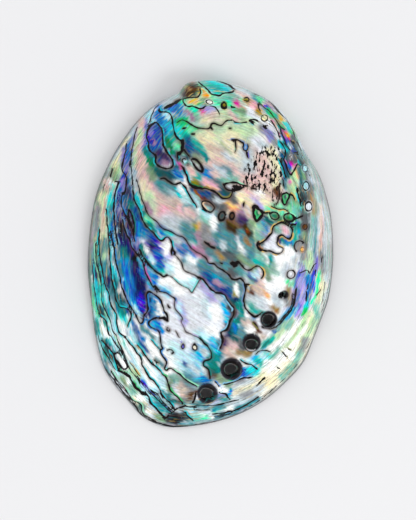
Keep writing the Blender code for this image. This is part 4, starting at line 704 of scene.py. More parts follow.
        178, 397.4, 181, 401, 182.4, 403),
    (1.2, "blue", "left", 137.7, 378, 141.6, 382.4, 145, 388, 149.5, 391.6, 154, 396, 158.8, 401,
        164, 406, 169.5, 411),
    (1.3, "", "left", 145, 385, 150, 390, 156, 392.4, 159.5, 396.6, 163, 402.4, 168.8, 407.4,
        171.6, 411),
    (1.0, "gold", "left", 130, 362.4, 134, 368, 137.4, 373, 140, 376),
    (0.9, "cyan", "left", 151.4, 340, 159, 349), (1.6, "olive", "left", 155, 360.6, 157.4, 362.6),
    (1.9, "", "left", 144.6, 111, 136.4, 119, 129, 127.4, 123.5, 134, 119, 141, 115, 150, 112, 156,
        108, 164.5, 104, 172.4, 100.6, 181.6, 97, 192, 94, 204, 91.6, 218, 89.6, 234, 88.4, 250,
        88, 264, 88, 276, 88, 289, 89, 300, 90.3, 314, 91.7, 324.5, 94.2, 335, 95.6, 346,
        98.5, 354.5, 102, 364, 106.4, 371, 114, 379.5, 117.4, 385, 122.4, 391, 126.6, 396.6,
        131, 401.6, 136, 406.6, 138, 411, 141, 416, 145, 419, 151, 421, 158, 423, 165, 425,
        170, 426, 181, 426.3, 189.5, 427),
    (1.1, "", "left", 102.8, 179.5, 100.6, 189, 99, 197), (1.1, "", "left", 105, 184, 102.8, 191),
    (1.2, "mint", "left", 92.4, 293, 92.8, 303, 95, 310, 97.4, 317.4),
    (1.4, "aqua", "left", 94.2, 321, 96.4, 330, 98.5, 337.4, 100, 343, 104, 351.6, 108, 357.4,
        112, 364, 115.6, 370),
    (1.2, "mint", "left", 111, 371, 116.6, 379.5, 121.6, 385, 126, 389.5, 129, 395, 133, 401,
        139.5, 403, 142, 405, 141.6, 410, 143, 414.5, 149.5, 418, 155, 420),
    (2.2, "", "left", 111.9, 169, 110.6, 176), (2.0, "", "left", 116, 181.6, 118.5, 181.8),
    (1.8, "", "left", 164.5, 419, 171, 414, 175, 409.5, 181.6, 407, 186, 406),
    (1.6, "cyan", "left", 185, 412.4, 188.8, 417.4, 192.4, 420),
    (1.1, "", "left", 188, 407, 197, 407), (1.0, "", "left", 195, 410, 210, 410),
    (1.3, "", "left", 196, 405, 214, 405.5, 220, 404.6, 226, 402.5, 232, 401, 238, 400),
    (1.6, "", "left", 213, 414, 222, 413, 228, 411.5, 234, 411, 240, 408, 246, 405, 252, 401,
        258, 397),
    (1.2, "azure", "left", 216, 417, 226, 415, 238, 410, 248, 404),
    (1.2, "", "left", 195, 425, 210, 422.6, 220, 420, 230, 417, 240, 413, 250, 407, 256, 403,
        262, 399, 270, 392, 280, 383, 290, 374, 298, 363),
    (1.9, "cyan", "left", 217.5, 391.5, 220.5, 393.4, 224, 393, 226.5, 394.5, 227.4, 397,
        229, 398.4),
    (1.5, "azure", "left", 215.5, 382.5, 219.5, 386.6),
    (1.8, "sky", "left", 224, 384, 232, 383, 237, 380.5, 242, 378, 248, 378, 252, 377),
    (1.8, "cyan", "left", 241, 360.5, 244.5, 362.8, 247.5, 364.4, 250.6, 364, 253, 365.4,
        255, 367.5, 257, 369),
    (1.2, "", "left", 256, 354, 258.8, 351, 265, 350, 270, 351.6),
    (2.0, "", "left", 257, 385, 261, 381.5, 264, 378), (1.2, "olive", "left", 283, 352.5, 286, 356),
    (1.0, "olive", "left", 288, 349, 290, 350), (1.4, "", "left", 277.6, 367.6, 279, 368.4),
    (2.8, "", "left", 255, 94, 259.5, 95, 269.5, 101, 275, 106.6, 280, 113, 286.6, 119.5, 290, 125,
        293, 130, 295, 137.4),
    (1.4, "green", "left", 259.5, 102.4, 264.5, 108, 269.5, 111, 273, 116, 276.6, 121, 280, 126.6,
        284.5, 129.5),
    (1.4, "rose", "left", 268.8, 117.4, 273.8, 124.5, 277.4, 131, 279.5, 137.4),
    (1.6, "blue", "left", 280, 130, 283, 136, 286, 144, 289.5, 149.5, 293, 152.4, 297.4, 152.4),
    (1.6, "cyan", "left", 280, 141.6, 284.5, 147.4, 286, 153, 283.8, 159),
    (1.4, "cyan", "right", 279.5, 160, 283, 166.6, 284.5, 173, 286, 177.4),
    (1.9, "magenta", "left", 283.8, 159, 286.6, 166.6, 288.8, 172.4, 291, 175.5, 294.5, 170,
        296.6, 165),
    (1.6, "cyan", "right", 298, 152.4, 298.8, 156.6, 299.5, 161.6, 302.4, 165),
    (3.4, "gold", "left", 291.5, 141.5, 293.5, 142.5),
    (2.0, "teal", "left", 297, 141, 300, 148, 304, 156, 308, 165, 310, 176),
    (2.2, "cyan", "right", 297.4, 189, 298.4, 196, 300.6, 201.6, 301.6, 207.4, 304.5, 211),
    (1.2, "", "right", 283, 180, 284, 188),
    (1.2, "", "right", 278.8, 184.5, 279.5, 191.6, 279, 199, 276.6, 204),
    (2.0, "", "right", 306, 151, 309.5, 156.6, 314.5, 165, 319, 174, 322.4, 182.4, 325, 191.6,
        328, 201.6, 331, 214.5, 332, 229, 332.4, 246.6, 331.6, 263, 331, 273, 328.8, 283,
        327.4, 291.6, 325, 301.6, 321.6, 313, 318, 323, 313.8, 334, 308.8, 344.5, 305, 353),
    (1.0, "", "right", 325, 281.6, 323.8, 294.5, 321, 304.5),
    (2.0, "", "right", 262.4, 326.6, 269.5, 328, 274.5, 328, 279.5, 324, 283.8, 319, 288, 314,
        291, 310, 294, 304.5, 295, 297.4, 296, 289),
    (1.3, "", "right", 271, 325, 278, 323, 285, 315, 290, 309, 292.4, 301, 292.4, 294.5),
    (1.2, "", "right", 296, 274, 302.4, 272, 306.6, 270, 308.8, 271.6, 309, 274.5, 311, 271,
        313, 266, 316, 263),
    (1.4, "", "right", 315.6, 271, 315.2, 275), (1.4, "", "right", 322.4, 256, 321.4, 262),
    (1.6, "", "right", 308, 285, 308, 288), (1.8, "", "right", 306.6, 292, 306, 300),
    (1.0, "", "right", 321, 289, 316.6, 295),
    (1.6, "gold", "left", 251, 269.5, 254.5, 266.6, 258, 266, 261.6, 268, 264, 271.6, 263, 276,
        261.6, 278),
    (1.8, "", "left", 238, 261.6, 241, 264.5, 243.8, 268, 247, 270.5, 251, 269.5),
    (2.6, "", "left", 205, 242.4, 209, 244.4), (2.0, "", "left", 208, 245, 213.8, 248),
    (1.8, "", "left", 220, 262.8, 221.6, 263.4), (5.0, "", "left", 232, 263.4, 235, 265),
    (1.6, "gold", "right", 246, 284, 248.6, 284.2),
    (1.4, "olive", "right", 253.8, 323, 256, 325.4, 258, 327.4),
    (1.0, "violet", "right", 167.6, 327, 170.4, 330, 168.6, 332.4, 165.6, 329, 167.6, 327),
    (1.6, "", "right", 168, 305, 169.2, 307.4),
    (1.2, "violet", "right", 183, 343, 185.2, 347, 183, 349.6, 180.8, 346, 183, 343),
    (1.7, "cream", "right", 194.5, 344, 197.6, 347.4, 195, 351, 191.6, 347.8, 194.5, 344),
    (1.2, "", "right", 167, 350, 171, 349, 174.6, 353, 172, 354),
    (1.0, "", "right", 175.6, 331, 179, 337),
]

# Small round marks: across, down, radius, how much longer than wide, turn, rim colour,
# rim share, heart colour.
beads = [
    (299.5, 246.6, 6.0, 1.1, 0, "coal", 0.25, "grey"),
    (302.4, 249.5, 2.4, 1.0, 0, "brown", 0.15, "peach"),
    (305.2, 226.6, 5.4, 1.0, 0, "ink", 0.35, "ash"), (305, 226.8, 2.8, 1.1, 0, "ink", 0.3, "brown"),
    (308.6, 206.5, 4.2, 1.3, 0, "ink", 0.35, "pearl"),
    (306, 186.0, 3.8, 1.3, 0, "coal", 0.3, "ice"), (305, 168.5, 3.0, 1.3, 0, "coal", 0.25, "ice"),
    (303, 157.0, 2.2, 1.1, 0, "ink", 0.4, "greyTeal"),
    (291, 157.0, 1.8, 1.0, 0, "coal", 0.35, "pearl"),
    (291, 274.4, 4.6, 1.1, 40, "coal", 0.3, "pearl"),
    (224, 105.4, 3.4, 1.25, 0, "ink", 0.6, "olive"),
    (209.4, 102, 4.2, 0.6, 12, "ink", 0.35, "white"),
    (264.4, 118, 4.0, 0.95, 0, "ink", 0.35, "cream"),
    (184.2, 160.6, 2.6, 1.0, 0, "ink", 0.4, "ice"), (188, 164.5, 1.4, 1.0, 0, "coal", 0.5, "white"),
    (222, 216, 4.2, 1.35, 20, "ink", 0.4, "pine"), (232, 216, 3.0, 1.5, 12, "ink", 0.5, "umber"),
]

# Open breathing holes, with painted shade: across, down, dark heart radius (painted shade down the
# hole), dark surround radius.
holePaintedShade = [
    (207.5, 393.5, 7.5, 10.6), (231.5, 369, 8.5, 11.5), (251.6, 342.4, 6.8, 9.5),
    (268.8, 319.5, 7.2, 8.8), (284.6, 294.5, 2.6, 4.2), (175.5, 418.8, 3.5, 6.0),
]

# Worn, pitted ground on the dome: half width, soft edge, the path's places.
gritPaths = [
    (11, 6, 265, 160, 263, 172, 264, 180), (5, 4, 252, 168, 250, 184),
    (4, 3, 276, 150, 278, 176, 277, 200),
]

shell = {
    "smoothing": 2,
    "cavityHeart": (0.006, 0.008, -0.006),  # skin that faces this place is the inside
    "paperColour": "pearl",
    "softness": 1.8,  # how far the soft edges reach
    "heartShare": 0.45,  # share of a patch's half width in full colour
    "depth": 1.15,
    "strength": 1.02,
    "smear": 5.0,
    "driftSeed": 7,  # any but nought, which would follow the clock
    # drift of the marks: steps, reach of one bend, height in the noise
    "wanderFine": (0.9, 3.2, 1.7),
    "wanderBroad": (2.2, 11.0, 5.1),
    "wanderLines": (0.55, 4.5, 9.3),
    # how closely the layers lie: across them, along them
    "layerPitch": (0.24, 0.05),
    "domeSeed": 3.3,
    "rimSeed": 8.1,
    "slant": (0.86, 0.51),
    # mm in from the rim
    "rimLayers": (18.0, 28.0),
    "rimWidth": 24.0,
    # films
    "filmReach": 6.0,
    "farOff": 9.0,
    "leanLimit": (0.6, 0.2),
    "fadeSlope": (0.34, 0.18),
    "footSlope": (0.6, 0.4),
    "footHeight": (0.0075, 0.0045),
    "footFade": 1.6,
    # the dark outer edge: share by place across, by height and by steps in from the rim
    "edgeAcross": ((150, 300), (0.75, 0.95)),
    "edgeHeight": ((0.003, 0.008), (1.0, 0.0)),
    "edgeIn": ((1.4, 4.0), (1.0, 0.0)),
    "steepSlope": ((0.2, 0.55), (1.0, 0.0)),
    "flankShare": 0.45,
    # noise that follows the layers: scale across, scale along, detail
    "fineLayers": (0.75, 0.07, 3.0),
    "broadLayers": (0.2, 0.035, 3.0),
    "sheenLayers": (0.35, 0.05, 2.0),
    "hueLayers": (0.5, 0.06, 2.0),
    "flankLayers": (0.2, 0.018, 3.0),
    "hairLayers": (0.16, 0.012, 4.0),
    "tressLayers": (0.24, 0.016, 3.0),
    "insideLayers": (0.07, 0.01, 1.0),
    "insideHueLayers": (0.12, 0.015, 2.0),
    # light and dark: noise from and to, share on the dome, share at the rim
    "fineLight": (0.34, 0.66, 0.22, 0.4),
    "sheenLight": (0.34, 0.66, 0.2, 0.24),
    "mottleLight": (0.3, 0.7, 0.22, 0.16),
    "grainLight": (0.3, 0.7, 0.14, 0.2),
    "brightness": 0.98,
    # painted light: how much the rim's colour is lightened to make up for the shade on its steep
    # wall
    "rimPaintedLight": 0.18,
    # scales of plain noise on the shell's own places
    "mottleScale": 330.0,
    "grainScale": 1100.0,
    "widthScale": 420.0,
    "glowScale": 300.0,
    "insideScale": 26.0,
    "pitScale": (820.0, 340.0, 0.0),
    "scratchScale": (1300.0, 330.0, 0.0),
    # gloss
    "roughness": 0.22,
    "coatWeight": 0.06,
    "coatRoughness": 0.05,
    "specular": 0.07,
    "bumpStrength": 0.3,
    "bumpDepth": 0.0004,
}

flankColours = [(0.3, "teal"), (0.37, "silver"), (0.43, "mint"), (0.48, "pearl"),
                (0.53, "blush"), (0.58, "seafoam"), (0.64, "lavender"), (0.7, "steel")]
tressColours = [(0.4, "gold"), (0.47, "umber"), (0.53, "pine"), (0.6, "teal")]
insideColours = [(0.3, "ice"), (0.4, "silver"), (0.47, "pearl"), (0.53, "blush"),
                 (0.6, "pearl"), (0.7, "lavender")]


def shellPiece(cadNode):
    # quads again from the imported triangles, then rounded
    shape = bmesh.new()
    shape.from_mesh(cadNode.data)
    bmesh.ops.remove_doubles(shape, verts=shape.verts, dist=0.00002)
    bmesh.ops.join_triangles(shape, faces=shape.faces, angle_face_threshold=1.2,
                             angle_shape_threshold=1.2)
    mesh = bpy.data.meshes.new("shell_skin")
    shape.to_mesh(mesh)
    shape.free()
    piece = bpy.data.objects.new("shell_skin", mesh)
    bpy.context.scene.collection.objects.link(piece)
    smoother = piece.modifiers.new("smoother", "SUBSURF")
    smoother.levels = shell["smoothing"]
    smoother.render_levels = shell["smoothing"]
    bpy.context.view_layer.update()
    finished = bpy.data.meshes.new_from_object(
        piece.evaluated_get(bpy.context.evaluated_depsgraph_get()))
    piece.modifiers.clear()
    piece.data = finished
    finished.shade_smooth()
    return piece


def readVectors(elements, field):
    values = np.empty(len(elements) * 3)
    elements.foreach_get(field, values)
    return values.reshape(-1, 3)


def writeField(mesh, name, kind, field, values):
    mesh.attributes.new(name, kind, "POINT").data.foreach_set(
        field, np.ascontiguousarray(values, dtype=np.float32).ravel())


def eased(share):
    share = np.clip(share, 0.0, 1.0)
    return share * share * (3.0 - 2.0 * share)


def falling(value, top, bottom):
    # nought at the top value and above, one at the bottom value and below
    return np.clip((top - value) / (top - bottom), 0.0, 1.0)


def wander(places, steps, reach, level):
    # smooth sideways drift of the places on the sheet
    drift = np.array([noise.noise_vector(Vector((x / reach, y / reach, level))) for x, y in places])
    return drift[:, :2] * steps


def rounded(path, rounds=2):
    # cuts the corners of a path, given as places across and down in turn
    p = np.asarray(path, dtype=float).reshape(-1, 2)
    for step in range(rounds):
        a = p[:-1] * 0.75 + p[1:] * 0.25
        b = p[:-1] * 0.25 + p[1:] * 0.75
        p = np.vstack([p[:1], np.stack([a, b], 1).reshape(-1, 2), p[-1:]])
    return p


def besidePath(places, path):
    # distance to the path, and its sign: above nought to the right of the way it runs
    best = np.full(len(places), 1e9)
    side = np.zeros(len(places))
    for a, b in zip(path[:-1], path[1:]):
        run = b - a
        length = float(run @ run)
        if length < 1e-12:
            continue
        off = places - a
        t = np.clip(off @ run / length, 0.0, 1.0)
        gap = np.hypot(off[:, 0] - t * run[0], off[:, 1] - t * run[1])
        nearer = gap < best - 1e-9
        best[nearer] = gap[nearer]
        side[nearer] = np.sign(run[0] * off[nearer, 1] - run[1] * off[nearer, 0])
    return best, side


def boxed(places, path, margin):
    low = path.min(axis=0) - margin
    high = path.max(axis=0) + margin
    return np.nonzero(np.all((places > low) & (places < high), axis=1))[0]


def layOver(colours, where, name, share):
    colours[where] += (linear(name) - colours[where]) * share[:, None]


def layerRun(onPaper, rimGap):
    # the layers run alongside the rim, and slantwise over the dome
    inner, outer = shell["rimLayers"]
    middle = eased((rimGap - inner) / (outer - inner))
    slant = np.array(shell["slant"])
    along = onPaper @ slant
    across = onPaper @ np.array([-slant[1], slant[0]])
    off = onPaper - sheet["centre"]
    tangent = np.column_stack([-off[:, 1], off[:, 0]])
    tangent /= np.maximum(np.linalg.norm(tangent, axis=1), 1.0)[:, None]
    return middle, along, across, tangent, slant


def stretched(across, along, seed):
    close, long = shell["layerPitch"]
    return np.array([noise.noise(Vector((a * close, b[0] * long, b[1] * long + seed)))
                     for a, b in zip(across, along)])


def rimDistance(mm, binDeg=3.0):
    # distance in from the outline seen from above
    centre = (mm.max(axis=0) + mm.min(axis=0)) / 2
    off = mm - centre
    reach = np.hypot(off[:, 0], off[:, 1])
    turn = np.degrees(np.arctan2(off[:, 1], off[:, 0])) % 360.0
    bins = np.arange(0.0, 360.0, binDeg)
    edge = np.zeros(len(bins))
    np.maximum.at(edge, ((turn / binDeg + 0.5).astype(int)) % len(bins), reach)
    edge = np.convolve(np.concatenate([edge[-1:], edge, edge[:1]]), [0.25, 0.5, 0.25], "valid")
    limit = np.interp(turn, bins, edge, period=360.0)
    return np.maximum(limit - reach, 0.0)


def layPatches(places):
    colours = np.tile(linear(shell["paperColour"]), (len(places), 1))
    for name, half, soft, *marks in patches:
        way = rounded(marks)
        inner = half * shell["heartShare"]
        reach = half + soft * shell["softness"]
        where = boxed(places, way, reach)
        gap = besidePath(places[where], way)[0]
        layOver(colours, where, name, eased((reach - gap) / (reach - inner)))
    return colours


def layFilms(places):
    # what the nearest film is at each place
    count = len(places)
    ink = {
        "side": np.full(count, shell["farOff"]),  # distance, above nought on the fringe's side
        "near": np.full(count, shell["farOff"]),
        "half": np.full(count, 0.8),
        "fringe": np.zeros((count, 4)),
    }
    ink["fringe"][:, :3] = linear("cyan")
    for width, name, fringeSide, *marks in films:
        way = rounded(marks)
        where = boxed(places, way, shell["filmReach"])
        gap, side = besidePath(places[where], way)
        if fringeSide == "left":
            side = -side
        closer = gap - width / 2 < ink["near"][where] - ink["half"][where]
        hit = where[closer]
        ink["side"][hit] = (side * gap)[closer]
        ink["near"][hit] = gap[closer]
        ink["half"][hit] = width / 2
        ink["fringe"][hit, :3] = linear(name or "ink")
        ink["fringe"][hit, 3] = 1.0 if name else 0.0
    return ink


def layBeads(places, layers, ink):
    for x, y, radius, longer, turn, rim, rimShare, heart in beads:
        off = places - (x, y)
        c, s = math.cos(math.radians(turn)), math.sin(math.radians(turn))
        away = np.hypot(off[:, 0] * c + off[:, 1] * s, (off[:, 1] * c - off[:, 0] * s) / longer)
        where = np.nonzero(away < radius + 3.0)[0]
        for layer in layers:
            layOver(layer, where, heart, np.clip(radius + 0.5 - away[where], 0.0, 1.0))
        half = radius * rimShare / 2
        ink["side"][where] = away[where] - (radius - half)
        ink["near"][where] = np.abs(ink["side"][where])
        ink["half"][where] = half
        ink["fringe"][where, 3] = 0.0


def layHoleShade(places, layers, ink, inward):
    for x, y, heart, surround in holePaintedShade:
        away = np.hypot(places[:, 0] - x, places[:, 1] - y)
        inward[away < heart + 0.5] = False
        where = np.nonzero(away < surround + 1.5)[0]
        for layer in layers:
            # painted shade: ink down each open hole, inside a darker ring of coal
            layOver(layer, where, "coal", falling(away[where], surround + 0.7, surround - 0.7))
            layOver(layer, where, "ink", falling(away[where], heart + 1.0, heart - 1.0))
        for key in ("near", "side"):
            ink[key][where[away[where] < surround]] = shell["farOff"]


def fadeFilms(ink, slope, height):
    # a film keeps its thickness where the wall falls away from the sheet, and fades where it
    # would run down the steepest walls or along the foot of the rim
    full, least = shell["leanLimit"]
    lean = np.clip(slope / full, least, 1.0)
    foot = falling(height, *shell["footHeight"]) * falling(slope, *shell["footSlope"])
    lost = np.maximum(falling(slope, *shell["fadeSlope"]), foot)
    ink["near"] = ink["near"] / lean + lost * shell["footFade"]
    ink["side"] /= lean
    ink["fringe"][:, 3] *= 1.0 - lost


def layGrit(places):
    grit = np.zeros(len(places))
    for half, soft, *marks in gritPaths:
        way = rounded(marks)
        where = boxed(places, way, half + soft)
        gap = besidePath(places[where], way)[0]
        grit[where] = np.maximum(grit[where], falling(gap, half + soft, half))
    return grit


def paintShell(piece):
    mesh = piece.data
    spots = readVectors(mesh.vertices, "co")
    facing = readVectors(mesh.vertices, "normal")
    inward = np.einsum("ij,ij->i", facing, spots - np.array(shell["cavityHeart"])) < 0.0
    slope = np.abs(facing[:, 2])
    onPaper = onSheet(spots)
    rimGap = rimDistance(spots[:, :2] * 1000.0)
    wall = np.hypot(rimGap, spots[:, 2] * 1000.0) / sheet["stepMm"]
    middle, along, across, tangent, slant = layerRun(onPaper, rimGap)
    noise.seed_set(shell["driftSeed"])
    drifted = onPaper + wander(onPaper, *shell["wanderFine"])
    drifted += wander(onPaper, *shell["wanderBroad"])
    overDome = middle * stretched(across, np.column_stack([along, along * 0.0]), shell["domeSeed"])
    byRim = (1.0 - middle) * stretched(wall, onPaper, shell["rimSeed"])
    smear = (overDome[:, None] * slant + byRim[:, None] * tangent) * shell["smear"]
    layers = [layPatches(drifted + smear), layPatches(drifted - smear)]
    print("patches laid:", len(patches))
    ink = layFilms(onPaper + wander(onPaper, *shell["wanderLines"]))
    print("films laid:", len(films))
    layBeads(onPaper, layers, ink)
    layHoleShade(onPaper, layers, ink, inward)
    fadeFilms(ink, slope, spots[:, 2])

    # the outer edge is darkest on the side of the holes
    edge = np.interp(onPaper[:, 0], *shell["edgeAcross"])
    edge *= np.interp(spots[:, 2], *shell["edgeHeight"])
    edge *= np.interp(rimGap / sheet["stepMm"], *shell["edgeIn"])
    steep = np.interp(slope, *shell["steepSlope"])
    rim = np.clip(1.0 - rimGap / shell["rimWidth"], 0.0, 1.0)
    for name, layer, share in (("tint", layers[0], steep), ("tintOther", layers[1], edge)):
        colour = np.clip(layer, 0.0, 1.0) ** shell["depth"] * shell["strength"]
        writeField(mesh, name, "FLOAT_COLOR", "color", np.column_stack([colour, share]))
    ink["fringe"][:, :3] **= shell["depth"]
    writeField(mesh, "fringe", "FLOAT_COLOR", "color", ink["fringe"])
    for name, values in (("inkSide", ink["side"]), ("inkNear", ink["near"]),
                         ("inkHalf", ink["half"])):
        writeField(mesh, name, "FLOAT", "value", values)
    for name, values in (("band", [wall, onPaper]), ("flow", [across, along, middle]),
                         ("cast", [rim, inward.astype(float), layGrit(drifted)])):
        writeField(mesh, name, "FLOAT_VECTOR", "vector", np.column_stack(values))


class Recipe:
    # wires shader nodes in reading order, over what is painted on the shell
    def __init__(self, name):
        self.material = bpy.data.materials.new(name)
        self.material.use_nodes = True
        self.tree = self.material.node_tree
        self.bsdf = self.tree.nodes["Principled BSDF"]
        self.place = self.tree.nodes.new("ShaderNodeTexCoord").outputs["Object"]
        self.flow = self.read("flow", "Vector")
        self.band = self.read("band", "Vector")
        self.middle = self.parts(self.flow)[2]
        self.rim, self.inward, self.grit = self.parts(self.read("cast", "Vector"))

    def put(self, socket, value):
        if isinstance(value, bpy.types.NodeSocket):
            self.tree.links.new(value, socket)
        else:
            socket.default_value = value

    def read(self, name, output):
        node = self.tree.nodes.new("ShaderNodeAttribute")
        node.attribute_name = name
        return node.outputs[output]

    def maths(self, kind, a, b=0.0, c=0.0):
        node = self.tree.nodes.new("ShaderNodeMath")
        node.operation = kind
        for socket, value in zip(node.inputs, (a, b, c)):
            self.put(socket, value)
        return node.outputs[0]

    def times(self, a, b):
        return self.maths("MULTIPLY", a, b)

    def minus(self, a, b):
        return self.maths("SUBTRACT", a, b)

    def size(self, value):
        return self.maths("ABSOLUTE", value)

    def scaled(self, vector, factors):
        node = self.tree.nodes.new("ShaderNodeVectorMath")
        node.operation = "MULTIPLY"
        self.put(node.inputs[0], vector)
        node.inputs[1].default_value = factors
        return node.outputs[0]

    def noise(self, vector, scale, detail=2.0, roughness=0.5):
        node = self.tree.nodes.new("ShaderNodeTexNoise")
        self.put(node.inputs["Vector"], vector)
        node.inputs["Scale"].default_value = scale
        node.inputs["Detail"].default_value = detail
        node.inputs["Roughness"].default_value = roughness
        return node.outputs["Fac"]

    def laminate(self, key):
        # fine layers: slantwise over the dome, alongside the rim further out
        across, along, detail = shell[key]
        alongside = self.noise(self.scaled(self.band, (across, along, along)), 1.0, detail, 0.6)
        overDome = self.noise(self.scaled(self.flow, (across, along, 0.0)), 1.0, detail, 0.6)
        return self.blend(self.middle, alongside, overDome)

    def parts(self, vector):
        node = self.tree.nodes.new("ShaderNodeSeparateXYZ")
        self.put(node.inputs[0], vector)
        return node.outputs

    def blend(self, share, a, b):
        node = self.tree.nodes.new("ShaderNodeMix")
        for socket, value in zip(node.inputs[:1] + node.inputs[2:4], (share, a, b)):
            self.put(socket, value)
        return node.outputs[0]

    def span(self, value, low, high, toLow=0.0, toHigh=1.0):
        node = self.tree.nodes.new("ShaderNodeMapRange")
        node.interpolation_type = "SMOOTHSTEP"
        self.put(node.inputs["Value"], value)
        for name, number in (("From Min", low), ("From Max", high),
                             ("To Min", toLow), ("To Max", toHigh)):
            self.put(node.inputs[name], number)
        return node.outputs["Result"]

    def byRim(self, onDome, atRim, low=0.0, high=1.0):
        return self.span(self.rim, low, high, onDome, atRim)

    def ramp(self, share, stops):
        node = self.tree.nodes.new("ShaderNodeValToRGB")
        while len(node.color_ramp.elements) < len(stops):
            node.color_ramp.elements.new(0.5)
        for element, (position, name) in zip(node.color_ramp.elements, stops):
            element.position = position
            element.color = self.dye(name)
        self.put(node.inputs["Fac"], share)
        return node.outputs[0]

    def dye(self, name):
        return (*linear(name), 1.0)

    def mix(self, share, a, b):
        node = self.tree.nodes.new("ShaderNodeMix")
        node.data_type = "RGBA"
        self.put(node.inputs[0], share)
        self.put(node.inputs[6], a)
        self.put(node.inputs[7], b)
        return node.outputs[2]

    def tuned(self, colour, hue, saturation, value):
        node = self.tree.nodes.new("ShaderNodeHueSaturation")
        for name, given in (("Hue", hue), ("Saturation", saturation), ("Value", value),
                            ("Color", colour)):
            self.put(node.inputs[name], given)
        return node.outputs[0]


def layeredColour(r, fine, sheen):
    # the two painted layers, the sides' own colours, light and dark by the fine layers, and painted
    # light lifting the rim
    tint = r.mix(r.span(r.laminate("broadLayers"), 0.4, 0.6),
                 r.read("tint", "Color"), r.read("tintOther", "Color"))
    flank = r.ramp(r.laminate("flankLayers"), flankColours)
    tint = r.mix(r.times(r.read("tint", "Alpha"), shell["flankShare"]), tint, flank)
    light = shell["brightness"]
    for source, key in ((fine, "fineLight"), (sheen, "sheenLight"),
                        (r.noise(r.place, shell["mottleScale"], 4.0, 0.62), "mottleLight"),
                        (r.noise(r.place, shell["grainScale"], 2.0, 0.6), "grainLight")):
        low, high, onDome, atRim = shell[key]
        light = r.maths("ADD", light, r.times(r.span(source, low, high, -0.5, 0.5),
                                              r.byRim(onDome, atRim)))
    # painted light: the rim is lightened to make up for the shade that falls on its steep wall
    light = r.maths("ADD", light, r.byRim(0.0, shell["rimPaintedLight"], 0.1, 0.8))
    saturation = r.times(r.span(sheen, 0.3, 0.7, 1.0, 1.7), r.byRim(1.0, 1.2, 0.1, 0.8))
    hue = r.span(r.laminate("hueLayers"), 0.3, 0.7, 0.46, 0.54)
    return r.tuned(tint, hue, saturation, light)


def hairLines(r, base, sheen):
    # dark and coloured lines as thin as a hair, mostly near the rim
    hair = r.size(r.minus(r.laminate("hairLayers"), 0.5))
    share = r.times(r.span(hair, 0.0, 0.012, 1.0, 0.0), r.byRim(0.15, 0.55, 0.0, 0.7))
    base = r.mix(share, base, r.dye("coal"))
    tress = r.size(r.minus(r.laminate("tressLayers"), 0.47))
    share = r.times(r.span(tress, 0.0, 0.03, 0.7, 0.0), r.byRim(0.0, 1.0, 0.1, 0.6))
    return r.mix(share, base, r.ramp(sheen, tressColours))


def wornGround(r, base, fine):
    # the dark outer edge, and scratches and pits on the dome
    base = r.mix(r.read("tintOther", "Alpha"), base, r.mix(fine, r.dye("coal"), r.dye("ash")))
    scratch = r.noise(r.scaled(r.place, shell["scratchScale"]), 1.0, 2.0, 0.6)
    base = r.mix(r.times(r.span(scratch, 0.5, 0.72, 0.0, 0.6), r.grit), base, r.dye("brown"))
    pits = r.noise(r.scaled(r.place, shell["pitScale"]), 1.0, 2.0, 0.65)
    share = r.times(r.span(pits, 0.505, 0.55), r.span(r.grit, 0.2, 1.0))
    return r.mix(share, base, r.dye("ink"))


def filmColour(r, base):
    # dark films with a brown halo, and a bright fringe along one side
    side, near = r.read("inkSide", "Fac"), r.read("inkNear", "Fac")
    half = r.times(r.read("inkHalf", "Fac"),
                   r.span(r.noise(r.place, shell["widthScale"], 1.0), 0.3, 0.7, 0.6, 1.25))
    outside = r.minus(near, half)
    halo = r.times(r.span(outside, 0.0, 2.4, 0.6, 0.0), r.byRim(1.0, 0.12, 0.1, 0.5))
    base = r.mix(halo, base, r.dye("brown"))
    beyond = r.minus(side, half)
    glow = r.times(r.span(beyond, -0.4, 0.1), r.span(beyond, 0.3, 2.0, 1.0, 0.0))
    glow = r.times(glow, r.read("fringe", "Alpha"))
    glow = r.times(glow, r.span(r.noise(r.place, shell["glowScale"], 1.0), 0.38, 0.6, 0.05, 1.0))
    base = r.mix(glow, base, r.read("fringe", "Color"))
    line = r.times(r.span(outside, 0.45, 0.95, 1.0, 0.0),
                   r.span(r.minus(r.size(side), half), -0.3, 0.3, 1.0, 0.0))
    return r.mix(line, base, r.dye("ink"))


def insideColour(r, fine, sheen):
    sweep = r.blend(0.5, r.noise(r.place, shell["insideScale"], 1.0, 0.4),
                    r.laminate("insideLayers"))
    return r.tuned(r.ramp(sweep, insideColours),
                   r.span(r.laminate("insideHueLayers"), 0.3, 0.7, 0.44, 0.56),
                   r.span(sheen, 0.3, 0.7, 1.1, 1.9), r.span(fine, 0.3, 0.7, 0.92, 1.06))


def nacreMaterial():
    r = Recipe("nacre")
    fine, sheen = r.laminate("fineLayers"), r.laminate("sheenLayers")
    colour = layeredColour(r, fine, sheen)
    colour = hairLines(r, colour, sheen)
    colour = wornGround(r, colour, fine)
    colour = filmColour(r, colour)
    colour = r.mix(r.span(r.inward, 0.4, 0.6), colour, insideColour(r, fine, sheen))
    bump = r.tree.nodes.new("ShaderNodeBump")
    bump.inputs["Strength"].default_value = shell["bumpStrength"]
    bump.inputs["Distance"].default_value = shell["bumpDepth"]
    r.put(bump.inputs["Height"], r.times(fine, r.byRim(0.1, 1.0)))
    for name, value in (("Base Color", colour), ("Normal", bump.outputs[0]),
                        ("Roughness", shell["roughness"]),
                        ("Coat Weight", shell["coatWeight"]),
                        ("Coat Roughness", shell["coatRoughness"]),
                        ("Specular IOR Level", shell["specular"])):
        r.put(r.bsdf.inputs[name], value)
    return r.material


skin = shellPiece(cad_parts["abalone_shell"])
print("shell skin:", len(skin.data.polygons), "faces")
paintShell(skin)
skin.data.materials.clear()
skin.data.materials.append(nacreMaterial())
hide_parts("abalone_shell")
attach(skin, "root")
print("shell painted")

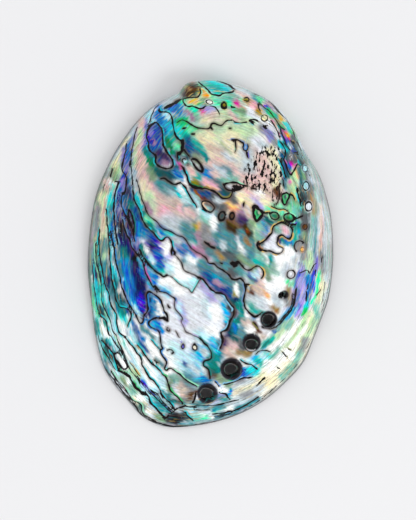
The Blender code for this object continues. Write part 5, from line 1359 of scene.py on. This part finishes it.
stage = {
    "floorColour": (0.80, 0.80, 0.815, 1.0),
    "floorRoughness": 0.9,
    "floorSpecular": 0.1,
    "floorHalf": 3.0,
    "floorDrop": 0.0002,
    "worldStrength": 0.92,
    "keyWatts": 23.0,
    "keyPlace": (1.7, -0.9, 2.3),
    "keySize": (1.1, 0.8),
    "sensorMm": 36.0,
}


def buildTable():
    shape = bmesh.new()
    bmesh.ops.create_grid(shape, x_segments=1, y_segments=1, size=stage["floorHalf"])
    mesh = bpy.data.meshes.new("table")
    shape.to_mesh(mesh)
    shape.free()
    table = bpy.data.objects.new("table", mesh)
    bpy.context.scene.collection.objects.link(table)
    table.location.z = -stage["floorDrop"]
    paper = bpy.data.materials.new("paper")
    paper.use_nodes = True
    paperLook = paper.node_tree.nodes["Principled BSDF"].inputs
    paperLook["Base Color"].default_value = stage["floorColour"]
    paperLook["Roughness"].default_value = stage["floorRoughness"]
    paperLook["Specular IOR Level"].default_value = stage["floorSpecular"]
    mesh.materials.append(paper)


def buildLights():
    world = bpy.data.worlds.new("studio")
    world.use_nodes = True
    sky = world.node_tree.nodes["Background"].inputs
    sky["Color"].default_value = (1.0, 1.0, 1.0, 1.0)
    sky["Strength"].default_value = stage["worldStrength"]
    bpy.context.scene.world = world
    key = bpy.data.lights.new("key", "AREA")
    key.shape = "RECTANGLE"
    key.size, key.size_y = stage["keySize"]
    key.energy = stage["keyWatts"]
    lamp = bpy.data.objects.new("key", key)
    bpy.context.scene.collection.objects.link(lamp)
    lamp.location = stage["keyPlace"]
    direction = -lamp.location
    lamp.rotation_euler = direction.to_track_quat("-Z", "Y").to_euler()


def buildCamera():
    lens = bpy.data.cameras.new("camera")
    aim = onShell(sheet["eyeOver"])[0] * 0.001
    reach = sheet["eyeHeight"] - sheet["paperHeight"]
    lens.sensor_width = stage["sensorMm"]
    lens.lens = stage["sensorMm"] * reach / (sheet["high"] * sheet["stepMm"] * 0.001)
    camera = bpy.data.objects.new("camera", lens)
    bpy.context.scene.collection.objects.link(camera)
    camera.location = (aim[0], aim[1], sheet["eyeHeight"])
    camera.rotation_euler = (0.0, 0.0, math.radians(sheet["turnDeg"]))
    bpy.context.scene.camera = camera


buildTable()
buildLights()
buildCamera()
bpy.context.scene.view_settings.view_transform = "Standard"
print("stage and camera set")
